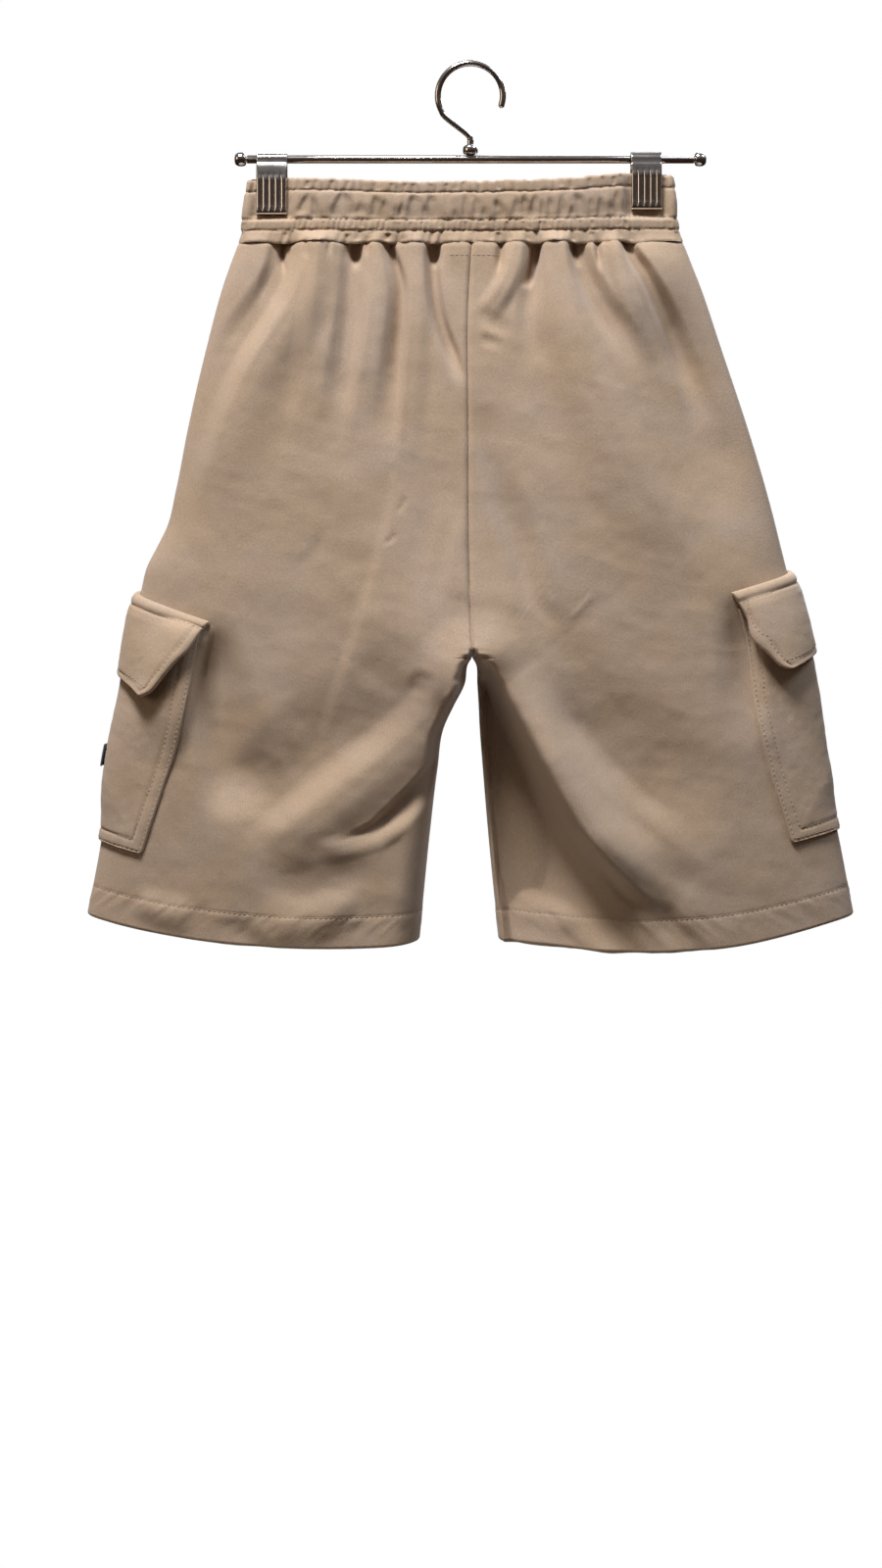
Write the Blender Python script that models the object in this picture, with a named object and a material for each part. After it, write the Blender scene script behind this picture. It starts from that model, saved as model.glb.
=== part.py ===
"""Knit cargo shorts hung by the waistband from a plain two-clip trouser hanger.

Frame: metres, +Z up.  The origin is the top inside of the hanger's hook, where a rail carries it.
The back of the shorts faces -Y and the wearer's left leg is at -X.  Sizes below are millimetres.
"down" is the distance below the top of the waistband, "out" the distance from the middle plane.
"""

import math

import bmesh
import bpy
import numpy as np

MM = 0.001

# Driving dimensions
WAIST_BELOW_HOOK = 69.0  # top of the waistband below the hook's bearing point
SEAM_DOWN = 40.0  # waist seam below the top of the waistband
CROTCH_SHARE = 0.596  # share of the way from the waist seam to the hem, down the inner edge
HEM_HEIGHT = 17.0
HEM_SAG = 9.0  # how much lower the middle of a hem hangs than its ends
CLOTH = 1.6
BAND_CLOTH = 3.0  # two layers of cloth round the elastic
FLAP_CLOTH = 2.4
LABEL_CLOTH = 1.0
SEAM_GAP = 0.3
LAYER_GAP = 0.9  # under a piece that lies on a curved panel

COLUMNS = 18  # cells from a side seam to the inner edge of a panel
COLUMN_CROWDING = 0.3  # how much closer the columns stand at both ends
PATCH_CROWDING = 0.62  # and those of a pocket or flap near the side seam
ROW_SHARES = (
    (0.0, 0.03, 0.07, 0.12, 0.18, 0.25, 0.325, 0.40, 0.455, 0.50, 0.54, 0.572, 0.586)
    + (CROTCH_SHARE, 0.61, 0.64, 0.69, 0.745, 0.80, 0.86, 0.92)
)

BEIGE = (0.47, 0.37, 0.27, 1.0)
LABEL_GREY = (0.07, 0.07, 0.08, 1.0)
CHROME = (0.72, 0.70, 0.68, 1.0)


def table(header, *rows):
    """A dictionary of columns, one array for each name in the header."""
    return dict(zip(header.split(), np.array(rows, float).T))


# Outer edge of each leg: distance from the middle at each depth below the waistband's top.
OUTER = {
    "left": table(
        "down x",
        (40, -142), (62, -150), (106, -162), (154, -173), (190, -180), (214, -186), (226, -192),
        (238, -198), (250, -201), (286, -207), (310, -210), (358, -220), (406, -226), (448, -234),
    ),
    "right": table(
        "down x",
        (40, 130), (62, 139), (106, 154), (154, 170), (202, 184), (226, 190), (250, 196),
        (286, 204), (310, 208), (358, 216), (406, 226), (448, 234),
    ),
}

# Inner edge: the centre seams down to the crotch, then the inseam of each leg.
INNER = table(
    "share down left right back front",
    (0.00, 40, 0.6, 0.6, 9, 9),
    (0.10, 82, -1.8, -1.8, 19, 16),
    (0.25, 146, -1.6, -1.6, 26, 22),
    (0.45, 230, -1.2, -1.2, 31, 26),
    (0.54, 268, 0.0, 0.0, 31, 26),
    (0.572, 281, 0.6, 0.6, 27, 22),
    (0.586, 287, 0.9, 0.9, 18, 14),
    (CROTCH_SHARE, 292, 1.0, 1.0, 0, 0),
    (0.61, 297, -1.6, 3.4, 0, 0),
    (0.64, 309, -3.5, 4.2, 0, 0),
    (0.67, 322, -10, 5.0, 0, 0),
    (0.70, 335, -16, 5.6, 0, 0),
    (0.76, 360, -20, 7.5, 0, 0),
    (0.86, 402, -25, 11, 0, 0),
    (1.00, 463, -31, 17, 0, 0),
)

# Form of a leg's section: depth each way, squareness of the side, reach of the inner rounding.
FORM = table(
    "share back front square reach",
    (0.00, 9, 9, 5.0, 14),
    (0.10, 19, 16, 4.0, 14),
    (0.25, 26, 22, 3.2, 14),
    (0.45, 31, 27, 2.8, 14),
    (0.60, 33, 30, 2.6, 14),
    (0.80, 34, 32, 2.6, 24),
    (1.00, 33, 32, 2.6, 30),
)

# Folds: a path of (x, down) points from its top, its height (a valley is negative), its width on
# the -X and +X side at the top and at the bottom, and the share of the path that fades in and out.
BACK_FOLDS = (
    # name, path, height, widths at top, widths at bottom, fades
    ("side pleat", ((-115, 38), (-126, 76), (-139, 106), (-151, 136), (-161, 170)), -5,
     (10, 14), (16, 22), (0.25, 0.7)),
    ("second pleat", ((-70, 38), (-72, 70), (-75, 100), (-77, 135)), -5, (9, 9), (14, 14), (0.25, 0.8)),
    ("third pleat", ((-48, 38), (-43, 60), (-42, 82), (-46, 118), (-49, 150)), -5,
     (8, 8), (10, 10), (0.25, 0.6)),
    ("fourth pleat", ((-22, 38), (-21, 67), (-16, 91), (-9, 115), (-3, 134)), -5,
     (9, 9), (7, 6), (0.25, 0.5)),
    ("fifth pleat", ((38, 38), (35, 58), (35, 82), (37, 107), (39, 124)), -5,
     (12, 8), (14, 12), (0.25, 0.7)),
    ("sixth pleat", ((66, 38), (72, 55), (83, 76), (94, 100), (103, 127), (111, 156)), -5,
     (12, 12), (16, 16), (0.25, 0.7)),
    ("seventh pleat", ((95, 38), (102, 55), (109, 73), (116, 94), (122, 115), (129, 140)), -5,
     (8, 9), (12, 12), (0.25, 0.8)),
    ("left thigh roll", ((-8, 306), (-30, 326), (-57, 350), (-84, 374), (-108, 395), (-134, 415)), 9,
     (34, 24), (34, 26), (0.2, 0.4)),
    ("right thigh roll", ((12, 303), (26, 325), (43, 351), (68, 380), (98, 406), (136, 428)), 9,
     (22, 40), (30, 44), (0.2, 0.4)),
)
FRONT_FOLDS = (
    ("side pleat", ((-108, 38), (-118, 74), (-131, 108), (-143, 140)), -5, (12, 12), (18, 18), (0.25, 0.7)),
    ("second pleat", ((-78, 38), (-84, 70), (-92, 104), (-98, 134)), -5, (10, 9), (14, 14), (0.25, 0.7)),
    ("third pleat", ((-44, 38), (-45, 66), (-50, 96), (-56, 128)), -5, (9, 9), (13, 13), (0.25, 0.7)),
    ("fourth pleat", ((-17, 38), (-16, 60), (-12, 88), (-7, 112)), -5, (8, 8), (9, 9), (0.25, 0.6)),
    ("fifth pleat", ((24, 38), (22, 62), (19, 88), (14, 110)), -5, (8, 9), (10, 10), (0.25, 0.6)),
    ("sixth pleat", ((58, 38), (63, 66), (71, 98), (78, 132)), -5, (10, 9), (14, 14), (0.25, 0.7)),
    ("seventh pleat", ((92, 38), (101, 70), (113, 104), (124, 140)), -5, (10, 10), (16, 16), (0.25, 0.7)),
    ("left thigh roll", ((-8, 308), (-34, 336), (-66, 368), (-100, 396)), 7, (30, 22), (32, 26), (0.3, 0.5)),
    ("right thigh roll", ((12, 306), (36, 336), (66, 368), (102, 398)), 7, (22, 32), (26, 34), (0.3, 0.5)),
)
FOLDS = {"back": BACK_FOLDS, "front": FRONT_FOLDS}

# Cargo pockets.  The rear and front edges are distances round the leg from the side seam (the back is
# positive) at a piece's top, middle and bottom.  The ends are shares of the way from waist seam to
# hem, at its rear edge, the side seam and its front edge.
POCKETS = {
    "left": dict(
        rear=(54, 51, 38), front=(-56, -63, -68), top=(0.570, 0.532, 0.512), bottom=(0.896, 0.892, 0.887),
        flap_rear=(57, 46, 34), flap_front=(-60, -50, -38), flap_top=(0.552, 0.522, 0.501),
    ),
    "right": dict(
        rear=(47, 48, 41), front=(-69, -70, -70), top=(0.536, 0.512, 0.490), bottom=(0.878, 0.876, 0.873),
        flap_rear=(49, 41, 32), flap_front=(-72, -62, -50), flap_top=(0.511, 0.491, 0.470),
    ),
}
EDGE_SHARES = np.array((0, 0.5, 1))  # where a piece's edge distances are given
FLAP_DROP = 0.120  # share of the leg that a flap covers
SHEET_TOP = 0.42  # the cloth that pockets and flaps are laid over begins at this share down
# Height of a piece's underside off the leg, at shares of the way down the piece
ON_CLOTH = table("share lift", *((share, LAYER_GAP) for share in (0, 0.2, 0.4, 0.6, 0.8, 1)))
ON_POCKET = table("share lift", (0, 2 * LAYER_GAP + CLOTH), (1, 2 * LAYER_GAP + CLOTH))
FLAP_RISE = table("share lift", (0, LAYER_GAP), (0.07, 3.6), (0.38, 4.6), (0.7, 5.4), (1, 6.2))
LABEL = dict(side="left", near=5, far=-24, top=0.752, height=0.032)

# Waistband
BAND_ENDS = table(
    "down left right", (0, -136, 124), (6, -137, 125), (22, -139, 126), (34, -140, 128), (40, -142, 130)
)
BAND_POINTS = 14  # plan points from the middle to each end
BAND_LEVELS = (0.0, 6.0, 20.0, 30.0, SEAM_DOWN - 1.5 * SEAM_GAP)
BAND_TOP = table("x down", (-137, 1.0), (-121, 0), (-60, 1.6), (0, 2.2), (60, 0), (107, -3.0), (125, -2.0))
BAND_HALF_DEPTH = 9.0
BAND_SQUARE = 5.0

# Hanger
CLIP_X = {"left": -121.5, "right": 107.5}
CLIP_WIDTH = 18.6
CLIP_SHEET = 0.9
# Half a clip's side profile, from the foot of a jaw up to the bow over the bar
JAW = table("out down", (6.6, 21.6), (5.4, 19.4), (5.1, 17.0), (5.3, 8.0), (6.2, -2.0), (4.4, -8.6))
PINCHED = 3.9  # half the waistband's depth between the jaws
PINCH_FLAT = 11.5
PINCH_FADE = 16.0
BAR_RADIUS = 2.5
BAR_RISE = 12.0  # bar's centre above the waistband's top
BAR_END = 137.0
BAR_CAP = table("along radius", (0.3, 2.8), (1.2, 4.0), (5.2, 4.2), (7.2, 2.6))
COLLAR = table("along radius", (0, 2.8), (1.0, 4.4), (4.6, 4.4), (6.0, 2.9))
HOOK_WIRE = 1.9
HOOK_INSIDE = 18.0
HOOK_START = 222  # degrees, anticlockwise from +X about the rail
HOOK_END = -30


def smooth_read(x, xs, ys):
    """Reads a table along a smooth curve through its points."""
    slope = np.gradient(ys, xs)
    i = np.clip(np.searchsorted(xs, x) - 1, 0, len(xs) - 2)
    step = xs[i + 1] - xs[i]
    t = np.clip((x - xs[i]) / step, 0, 1)
    return (
        (1 + 2 * t) * (1 - t) ** 2 * ys[i]
        + t * (1 - t) ** 2 * step * slope[i]
        + t * t * (3 - 2 * t) * ys[i + 1]
        + t * t * (t - 1) * step * slope[i + 1]
    )


def ease(t):
    """0 to 1 with level ends."""
    t = np.clip(t, 0, 1)
    return t * t * (3 - 2 * t)


def curve_through(points, pieces):
    """A smooth run of points through the given ones."""
    p = np.array(points, float)
    at = np.arange(len(p), dtype=float)
    fine = np.linspace(0, len(p) - 1, pieces * (len(p) - 1) + 1)
    return np.stack([smooth_read(fine, at, p[:, k]) for k in range(p.shape[1])], axis=1)


def fold_height(x, down, fold):
    """How far one fold lifts the cloth at each point."""
    _, path, height, top, bottom, (fade_in, fade_out) = fold
    line = curve_through(path, 5)
    start = line[:-1]
    step = np.diff(line, axis=0)
    rx = x[:, None] - start[:, 0]
    rd = down[:, None] - start[:, 1]
    t = np.clip((rx * step[:, 0] + rd * step[:, 1]) / (step**2).sum(axis=1), 0, 1)
    rx = rx - t * step[:, 0]
    rd = rd - t * step[:, 1]
    nearest = np.argmin(np.hypot(rx, rd), axis=1)
    pick = np.arange(len(x)), nearest
    across = np.hypot(rx, rd)[pick]
    side = (rx * step[:, 1] - rd * step[:, 0])[pick]
    along = (nearest + t[pick]) / len(step)
    width = np.where(
        side < 0,
        top[0] + (bottom[0] - top[0]) * along,
        top[1] + (bottom[1] - top[1]) * along,
    )
    return height * (1 - ease(across / width)) * ease(along / fade_in) * ease((1 - along) / fade_out)


def leg_point(side, face, share_across, share_down):
    """x, down and out of a leg's outer face: across is 0 at the inner edge and 1 at the side seam."""
    w = np.asarray(share_across, float)
    v = np.full(w.shape, share_down)
    inner_x = smooth_read(v, INNER["share"], INNER[side])
    inner_down = np.interp(v, INNER["share"], INNER["down"])
    edge_out = smooth_read(v, INNER["share"], INNER[face]) * (v < CROTCH_SHARE)
    outer = OUTER[side]
    outer_down = outer["down"][0] + (outer["down"][-1] - outer["down"][0]) * v
    outer_x = smooth_read(outer_down, outer["down"], outer["x"])
    x = inner_x + (outer_x - inner_x) * w
    down = inner_down + (outer_down - inner_down) * w + HEM_SAG * v * 4 * w * (1 - w)

    depth = smooth_read(v, FORM["share"], FORM[face])
    square = smooth_read(v, FORM["share"], FORM["square"])
    reach = smooth_read(v, FORM["share"], FORM["reach"])
    side_form = (1 - np.clip(w, 0, 1) ** square) ** (1 / square)
    q = np.clip(w * np.abs(outer_x - inner_x) / reach, 0, 1)
    tube = (1 - (1 - q) ** 2.4) ** (1 / 2.4)
    inner_form = tube + (ease(q) - tube) * np.clip((CROTCH_SHARE - v) / 0.02, 0, 1)
    out = side_form * (edge_out + (depth - edge_out) * inner_form)

    free = 1 - w**14
    free = free * np.where(v > CROTCH_SHARE, ease(q * 1.2), 1)
    lift = sum(fold_height(x, down, fold) for fold in FOLDS[face])
    return x, down, out + lift * free


def placed(points, face):
    """Points in metres, in the part's frame."""
    x, down, out = points
    y = out * (-1.0 if face == "back" else 1.0)
    return np.stack([x, y, -WAIST_BELOW_HOOK - down], axis=-1) * MM


def half_ring(side, face, share_down):
    """Distances from the side seam to the inner edge, and the share across at each."""
    across = (1 + np.cos(np.linspace(0, math.pi, 101))) / 2
    x, _, out = leg_point(side, face, across, share_down)
    steps = np.hypot(np.diff(x), np.diff(out))
    return np.concatenate(([0.0], np.cumsum(steps))), across


def rows_of_panel():
    hem_share = 1 - HEM_HEIGHT / (INNER["down"][-1] - SEAM_DOWN)
    return np.array(ROW_SHARES + (hem_share - 0.004, hem_share, 1.0))


def cloth_at_row(row):
    """The wall's thickness at a row of the panel: doubled where the hem is turned up inside."""
    return CLOTH * (2 if row >= len(ROW_SHARES) + 1 else 1)


def column_shares():
    """Shares of the way round from the side seam, closer together at both ends."""
    t = np.linspace(0, 1, COLUMNS + 1)
    return t - COLUMN_CROWDING * np.sin(2 * math.pi * t) / (2 * math.pi)


def leg_tube(side):
    """Rows of points round a leg, from the back's inner edge by the side seam to the front's."""
    tube = []
    for v in rows_of_panel():
        ring = []
        for face in ("back", "front"):
            reached, across = half_ring(side, face, v)
            w = np.interp(column_shares() * reached[-1], reached, across)
            points = placed(leg_point(side, face, w, v), face)
            ring.append(points[::-1] if face == "back" else points[1:])
        tube.append(np.concatenate(ring))
    return np.array(tube)


def unit(vectors):
    return vectors / np.maximum(np.linalg.norm(vectors, axis=-1, keepdims=True), 1e-12)


def sign_of(side):
    return -1.0 if side == "left" else 1.0


def tube_normals(side, tube):
    """Outward normals; along the centre seams they stay in the seam's own plane."""
    below = rows_of_panel() >= CROTCH_SHARE
    around = np.gradient(tube, axis=1)
    closing = tube[:, 1] - tube[:, -2]
    around[below, 0] = closing[below]
    around[below, -1] = closing[below]
    down = np.gradient(tube, axis=0)
    normals = unit(np.cross(down, around)) * sign_of(side)
    crotch = int(np.argmax(below))
    for column, turn in ((0, 1.0), (-1, -1.0)):
        run = np.gradient(tube[: crotch + 1, column], axis=0)[:crotch]
        in_plane = np.stack([np.zeros(crotch), run[:, 2], -run[:, 1]], axis=1)
        normals[:crotch, column] = unit(in_plane) * turn
        normals[crotch, column] = (0, 0, -1)
    return normals


def object_from(name, mesh_data, material):
    mesh = bpy.data.meshes.new(name)
    mesh_data.to_mesh(mesh)
    mesh_data.free()
    obj = bpy.data.objects.new(name, mesh)
    obj.data.materials.append(material)
    bpy.context.scene.collection.objects.link(obj)
    return obj


def wall(name, outer, inner, material, closed=False):
    """A closed solid between two grids of points; closed joins the last column to the first."""
    data = bmesh.new()
    rows, columns = outer.shape[:2]
    faces = []
    grids = [[[data.verts.new(p) for p in row] for row in grid] for grid in (outer, inner)]
    last = columns if closed else columns - 1
    for grid, turn in zip(grids, (1, -1)):
        for r in range(rows - 1):
            for c in range(last):
                d = (c + 1) % columns
                faces.append([grid[r][c], grid[r][d], grid[r + 1][d], grid[r + 1][c]][::turn])
    rim = [(0, c, 0, (c + 1) % columns) for c in range(last)]
    rim += [(rows - 1, (c + 1) % columns, rows - 1, c) for c in range(last)]
    if not closed:
        rim += [(r + 1, 0, r, 0) for r in range(rows - 1)]
        rim += [(r, columns - 1, r + 1, columns - 1) for r in range(rows - 1)]
    for r0, c0, r1, c1 in rim:
        faces.append([grids[1][r0][c0], grids[1][r1][c1], grids[0][r1][c1], grids[0][r0][c0]])
    for corners in faces:
        data.faces.new(corners)
    bmesh.ops.triangulate(data, faces=data.faces)
    bmesh.ops.recalc_face_normals(data, faces=data.faces)
    return object_from(name, data, material)


def pull_in(points, edge, neighbour):
    """Moves one edge column of points half a seam gap towards its neighbour."""
    points[:, edge] += unit(points[:, neighbour] - points[:, edge]) * SEAM_GAP / 2 * MM


def clear_centre(points, side, edge):
    """Keeps the centre seam's edge half a seam gap on its own side of the seam."""
    above = rows_of_panel() <= CROTCH_SHARE
    seam = smooth_read(rows_of_panel(), INNER["share"], INNER[side])
    points[above, edge, 0] = (seam[above] + sign_of(side) * SEAM_GAP / 2) * MM


def build_leg(side, cloth):
    """The back and front panels of one leg."""
    tube = leg_tube(side)
    thickness = np.array([cloth_at_row(row) for row in range(len(tube))])
    inside = tube - tube_normals(side, tube) * thickness[:, None, None] * MM
    back = slice(0, COLUMNS + 1)
    front = slice(COLUMNS, None)
    for face, columns, edge in (("back", back, 0), ("front", front, -1)):
        grids = [tube[:, columns].copy(), inside[:, columns].copy()]
        for points in grids:
            pull_in(points, 0, 1)
            pull_in(points, -1, -2)
            clear_centre(points, side, edge)
        wall(f"{face}_{side}", *grids, cloth)


def leg_sheet(side):
    """The panel rows below the hips: share down, signed distances from the side seam, and points."""
    sheet = []
    for v in rows_of_panel()[rows_of_panel() > SHEET_TOP]:
        back_reach, back_across = half_ring(side, "back", v)
        front_reach, front_across = half_ring(side, "front", v)
        back = placed(leg_point(side, "back", back_across, v), "back")
        front = placed(leg_point(side, "front", front_across, v), "front")
        distances = np.concatenate((-front_reach[:0:-1], back_reach))
        sheet.append((v, distances, np.concatenate((front[:0:-1], back))))
    return sheet


def on_sheet(sheet, distance, share):
    """The point at a distance round the leg from the side seam; the back is positive."""
    shares = [row[0] for row in sheet]
    place = np.interp(share, shares, np.arange(len(shares)))
    upper = min(int(place), len(shares) - 2)
    ends = [
        np.array([np.interp(distance, reached, points[:, k]) for k in range(3)])
        for _, reached, points in sheet[upper : upper + 2]
    ]
    return ends[0] + (ends[1] - ends[0]) * (place - upper)


def lifted_grid(side, sheet, distances, shares, lifts):
    """Points over a leg's cloth at a grid of distances round, shares down and lifts off the cloth."""
    grid = np.zeros(distances.shape + (3,))
    for i in np.ndindex(distances.shape):
        d, v = distances[i], shares[i]
        around = on_sheet(sheet, d + 3, v) - on_sheet(sheet, d - 3, v)
        down = on_sheet(sheet, d, v + 0.008) - on_sheet(sheet, d, v - 0.008)
        normal = unit(np.cross(around, down)) * sign_of(side)
        grid[i] = on_sheet(sheet, d, v) + normal * lifts[i] * MM
    return grid


def patch(name, side, sheet, edges, ends, rise, thickness, columns, material):
    """A piece laid over a leg.

    edges are the distances of its rear and front edges, each at its top, middle and bottom; ends are
    the shares down of its top and bottom, each at the rear, the side seam and the front; rise is its
    underside's height off the cloth down the piece.
    """
    t = rise["share"]
    shape = (len(t), columns + 1)
    across = np.linspace(0, 1, columns + 1)
    across = across + PATCH_CROWDING * np.sin(2 * math.pi * across) / (2 * math.pi)
    rear, front = [smooth_read(t, EDGE_SHARES, np.array(edge, float))[:, None] for edge in edges]
    distances = rear + (front - rear) * across
    knots = [np.array([row[-1], 0.0, row[0]]) for row in distances]
    top, bottom = [
        np.array([np.interp(row, at, end[::-1]) for row, at in zip(distances, knots)]) for end in ends
    ]
    shares = top + (bottom - top) * t[:, None]
    lifts = np.broadcast_to(rise["lift"][:, None], shape)
    under = lifted_grid(side, sheet, distances, shares, lifts)
    over = lifted_grid(side, sheet, distances, shares, lifts + thickness)
    return wall(name, over, under, material)


def build_pocket(side, cloth, label):
    """A cargo pocket across the side seam, under a flap that stands off it, and the left one's label."""
    size = POCKETS[side]
    sheet = leg_sheet(side)
    patch(
        f"pocket_{side}", side, sheet, (size["rear"], size["front"]), (size["top"], size["bottom"]),
        ON_CLOTH, CLOTH, 18, cloth,
    )
    flap_bottom = tuple(share + FLAP_DROP for share in size["flap_top"])
    patch(
        f"flap_{side}", side, sheet, (size["flap_rear"], size["flap_front"]),
        (size["flap_top"], flap_bottom), FLAP_RISE, FLAP_CLOTH, 14, cloth,
    )
    if side == LABEL["side"]:
        ends = ((LABEL["top"],) * 3, (LABEL["top"] + LABEL["height"],) * 3)
        edges = ((LABEL["near"],) * 3, (LABEL["far"],) * 3)
        patch("label", side, sheet, edges, ends, ON_POCKET, LABEL_CLOTH, 6, label)


def band_half_depth(x):
    """Half the waistband's depth, flattened where the clips hold it."""
    hold = sum(1 - ease((np.abs(x - at) - PINCH_FLAT) / PINCH_FADE) for at in CLIP_X.values())
    return BAND_HALF_DEPTH + (PINCHED - BAND_HALF_DEPTH) * np.minimum(hold, 1)


def band_ring(down, inset):
    """One closed ring of the waistband, at a level and an inset from its outer face."""
    turns = np.sin(np.linspace(0, math.pi / 2, BAND_POINTS + 1))
    centre = INNER["left"][0]
    clip_share = 1 - ease((down - 22) / (SEAM_DOWN - 22))
    ring = []
    for face, side in (("back", "right"), ("front", "right"), ("front", "left"), ("back", "left")):
        end = np.interp(down, BAND_ENDS["down"], BAND_ENDS[side])
        share = turns if (face, side) in (("back", "right"), ("front", "left")) else turns[::-1]
        x = centre + sign_of(side) * (abs(end - centre) - inset) * share
        depth = BAND_HALF_DEPTH + (band_half_depth(x) - BAND_HALF_DEPTH) * clip_share - inset
        y = depth * (1 - share**BAND_SQUARE) ** (1 / BAND_SQUARE) * (-1 if face == "back" else 1)
        top = smooth_read(x, BAND_TOP["x"], BAND_TOP["down"])
        z = -WAIST_BELOW_HOOK - (down + top * (1 - down / SEAM_DOWN))
        ring.append(np.stack([x, y, z], axis=1)[:-1])
    return np.concatenate(ring) * MM


def build_waistband(cloth):
    outer = np.array([band_ring(down, 0.0) for down in BAND_LEVELS])
    inner = np.array([band_ring(down, BAND_CLOTH) for down in BAND_LEVELS])
    wall("waistband", outer, inner, cloth, closed=True)


def build_clip(side, metal):
    """One sheet-metal clip bent over the bar, its two jaws closing on the waistband."""
    top = np.interp(CLIP_X[side], BAND_TOP["x"], BAND_TOP["down"])
    bow = BAR_RADIUS + SEAM_GAP + CLIP_SHEET
    over_bar = [(bow * math.cos(a), -BAR_RISE - bow * math.sin(a)) for a in np.radians((0, 30, 60, 90))]
    half = [(out, down + top) for out, down in zip(JAW["out"], JAW["down"])] + over_bar
    line = np.array(half + [(-out, down) for out, down in half[-2::-1]])
    run = np.gradient(line, axis=0)
    inner = line + unit(np.stack([run[:, 1], -run[:, 0]], axis=1)) * CLIP_SHEET
    left = CLIP_X[side] - CLIP_WIDTH / 2

    def sheet(profile):
        columns = [
            np.stack([np.full(len(profile), x), profile[:, 0], -WAIST_BELOW_HOOK - profile[:, 1]], axis=1)
            for x in (left, left + CLIP_WIDTH)
        ]
        return np.stack(columns, axis=1) * MM

    wall(f"clip_{side}", sheet(line), sheet(inner), metal)


def tube_along(name, line, radii, metal, sides):
    """A round piece along a line of points, in millimetres, with closed ends."""
    line = np.array(line, float)
    run = unit(np.gradient(line, axis=0))
    flat = np.array((0.0, 1.0, 0.0))
    data = bmesh.new()
    rings = []
    for point, direction, radius in zip(line, run, radii):
        third = np.cross(direction, flat)
        turns = [2 * math.pi * k / sides for k in range(sides)]
        ring = [point + radius * (math.cos(a) * flat + math.sin(a) * third) for a in turns]
        rings.append([data.verts.new(p * MM) for p in ring])
    for first, second in zip(rings, rings[1:]):
        for k in range(sides):
            m = (k + 1) % sides
            data.faces.new((first[k], first[m], second[m], second[k]))
    data.faces.new(rings[0])
    data.faces.new(rings[-1])
    bmesh.ops.recalc_face_normals(data, faces=data.faces)
    obj = object_from(name, data, metal)
    obj.data.shade_smooth()
    return obj


def build_hanger(metal):
    """The bar, its end caps, the collar and the hook."""
    bar_z = BAR_RISE - WAIST_BELOW_HOOK
    tube_along("bar", [(-BAR_END, 0, bar_z), (BAR_END, 0, bar_z)], [BAR_RADIUS] * 2, metal, 16)
    for side in ("left", "right"):
        line = [(sign_of(side) * (BAR_END + along), 0, bar_z) for along in BAR_CAP["along"]]
        tube_along(f"bar_cap_{side}", line, BAR_CAP["radius"], metal, 16)
    low = bar_z + BAR_RADIUS + SEAM_GAP
    line = [(0, 0, low + along) for along in COLLAR["along"]]
    tube_along("collar", line, COLLAR["radius"], metal, 16)
    build_hook(low + COLLAR["along"][-1] + SEAM_GAP, metal)


def build_hook(foot, metal):
    """The hook's wire: up from the collar, out to one side and over the rail."""
    radius = HOOK_INSIDE + HOOK_WIRE
    turns = np.radians(np.arange(HOOK_START, HOOK_END, -15))
    arc = [(radius * math.cos(a), 0, radius * math.sin(a) - HOOK_INSIDE) for a in turns]
    bend = [(0, 0, foot), (0, 0, foot + 1.5), (0, 0, foot + 3.0), (-2.0, 0, foot + 6.5)]
    line = curve_through(bend + arc, 2)
    tube_along("hook", line, [HOOK_WIRE] * len(line), metal, 12)


def make_material(name, colour, roughness, metallic):
    material = bpy.data.materials.new(name)
    material.use_nodes = True
    shader = material.node_tree.nodes["Principled BSDF"]
    shader.inputs["Base Color"].default_value = colour
    shader.inputs["Roughness"].default_value = roughness
    shader.inputs["Metallic"].default_value = metallic
    return material


def main():
    for obj in list(bpy.data.objects):
        bpy.data.objects.remove(obj)
    cloth = make_material("cloth", BEIGE, 0.92, 0.0)
    label = make_material("label", LABEL_GREY, 0.8, 0.0)
    metal = make_material("hanger_metal", CHROME, 0.22, 1.0)
    build_waistband(cloth)
    for side in ("left", "right"):
        build_leg(side, cloth)
        build_pocket(side, cloth, label)
        build_clip(side, metal)
    build_hanger(metal)


main()
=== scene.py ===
"""Looks of the knit cargo shorts on their clip hanger.

Same frame as the part: metres, +Z up, origin under the hanger's hook, the back of the shorts to -Y.
Sizes in the tables are millimetres.  "down" is the distance below the top of the waistband, "out"
the distance from the middle plane, "share" the share of the way from the waist seam to the hem.
"""

import math

import bpy
import numpy as np
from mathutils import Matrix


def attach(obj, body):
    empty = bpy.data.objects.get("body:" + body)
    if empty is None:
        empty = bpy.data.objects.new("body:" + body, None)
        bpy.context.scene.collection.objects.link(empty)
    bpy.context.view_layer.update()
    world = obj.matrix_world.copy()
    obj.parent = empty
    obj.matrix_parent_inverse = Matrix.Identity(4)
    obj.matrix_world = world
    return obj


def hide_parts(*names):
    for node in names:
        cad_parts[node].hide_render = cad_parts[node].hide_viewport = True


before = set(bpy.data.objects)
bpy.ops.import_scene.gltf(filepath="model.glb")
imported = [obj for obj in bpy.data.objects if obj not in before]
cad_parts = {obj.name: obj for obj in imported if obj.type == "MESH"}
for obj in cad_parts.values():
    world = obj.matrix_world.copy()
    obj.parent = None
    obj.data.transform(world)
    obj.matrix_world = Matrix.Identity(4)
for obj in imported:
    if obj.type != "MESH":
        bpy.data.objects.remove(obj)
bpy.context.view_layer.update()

MM = 0.001

# ---------------------------------------------------------------- the garment's sizes, as in the part
WAIST_BELOW_HOOK = 69.0
SEAM_DOWN = 40.0
CROTCH_SHARE = 0.596
HEM_HEIGHT = 17.0
HEM_SAG = 9.0
CLOTH = 1.6
BAND_CLOTH = 3.0
FLAP_CLOTH = 2.4
SEAM_GAP = 0.3


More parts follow.
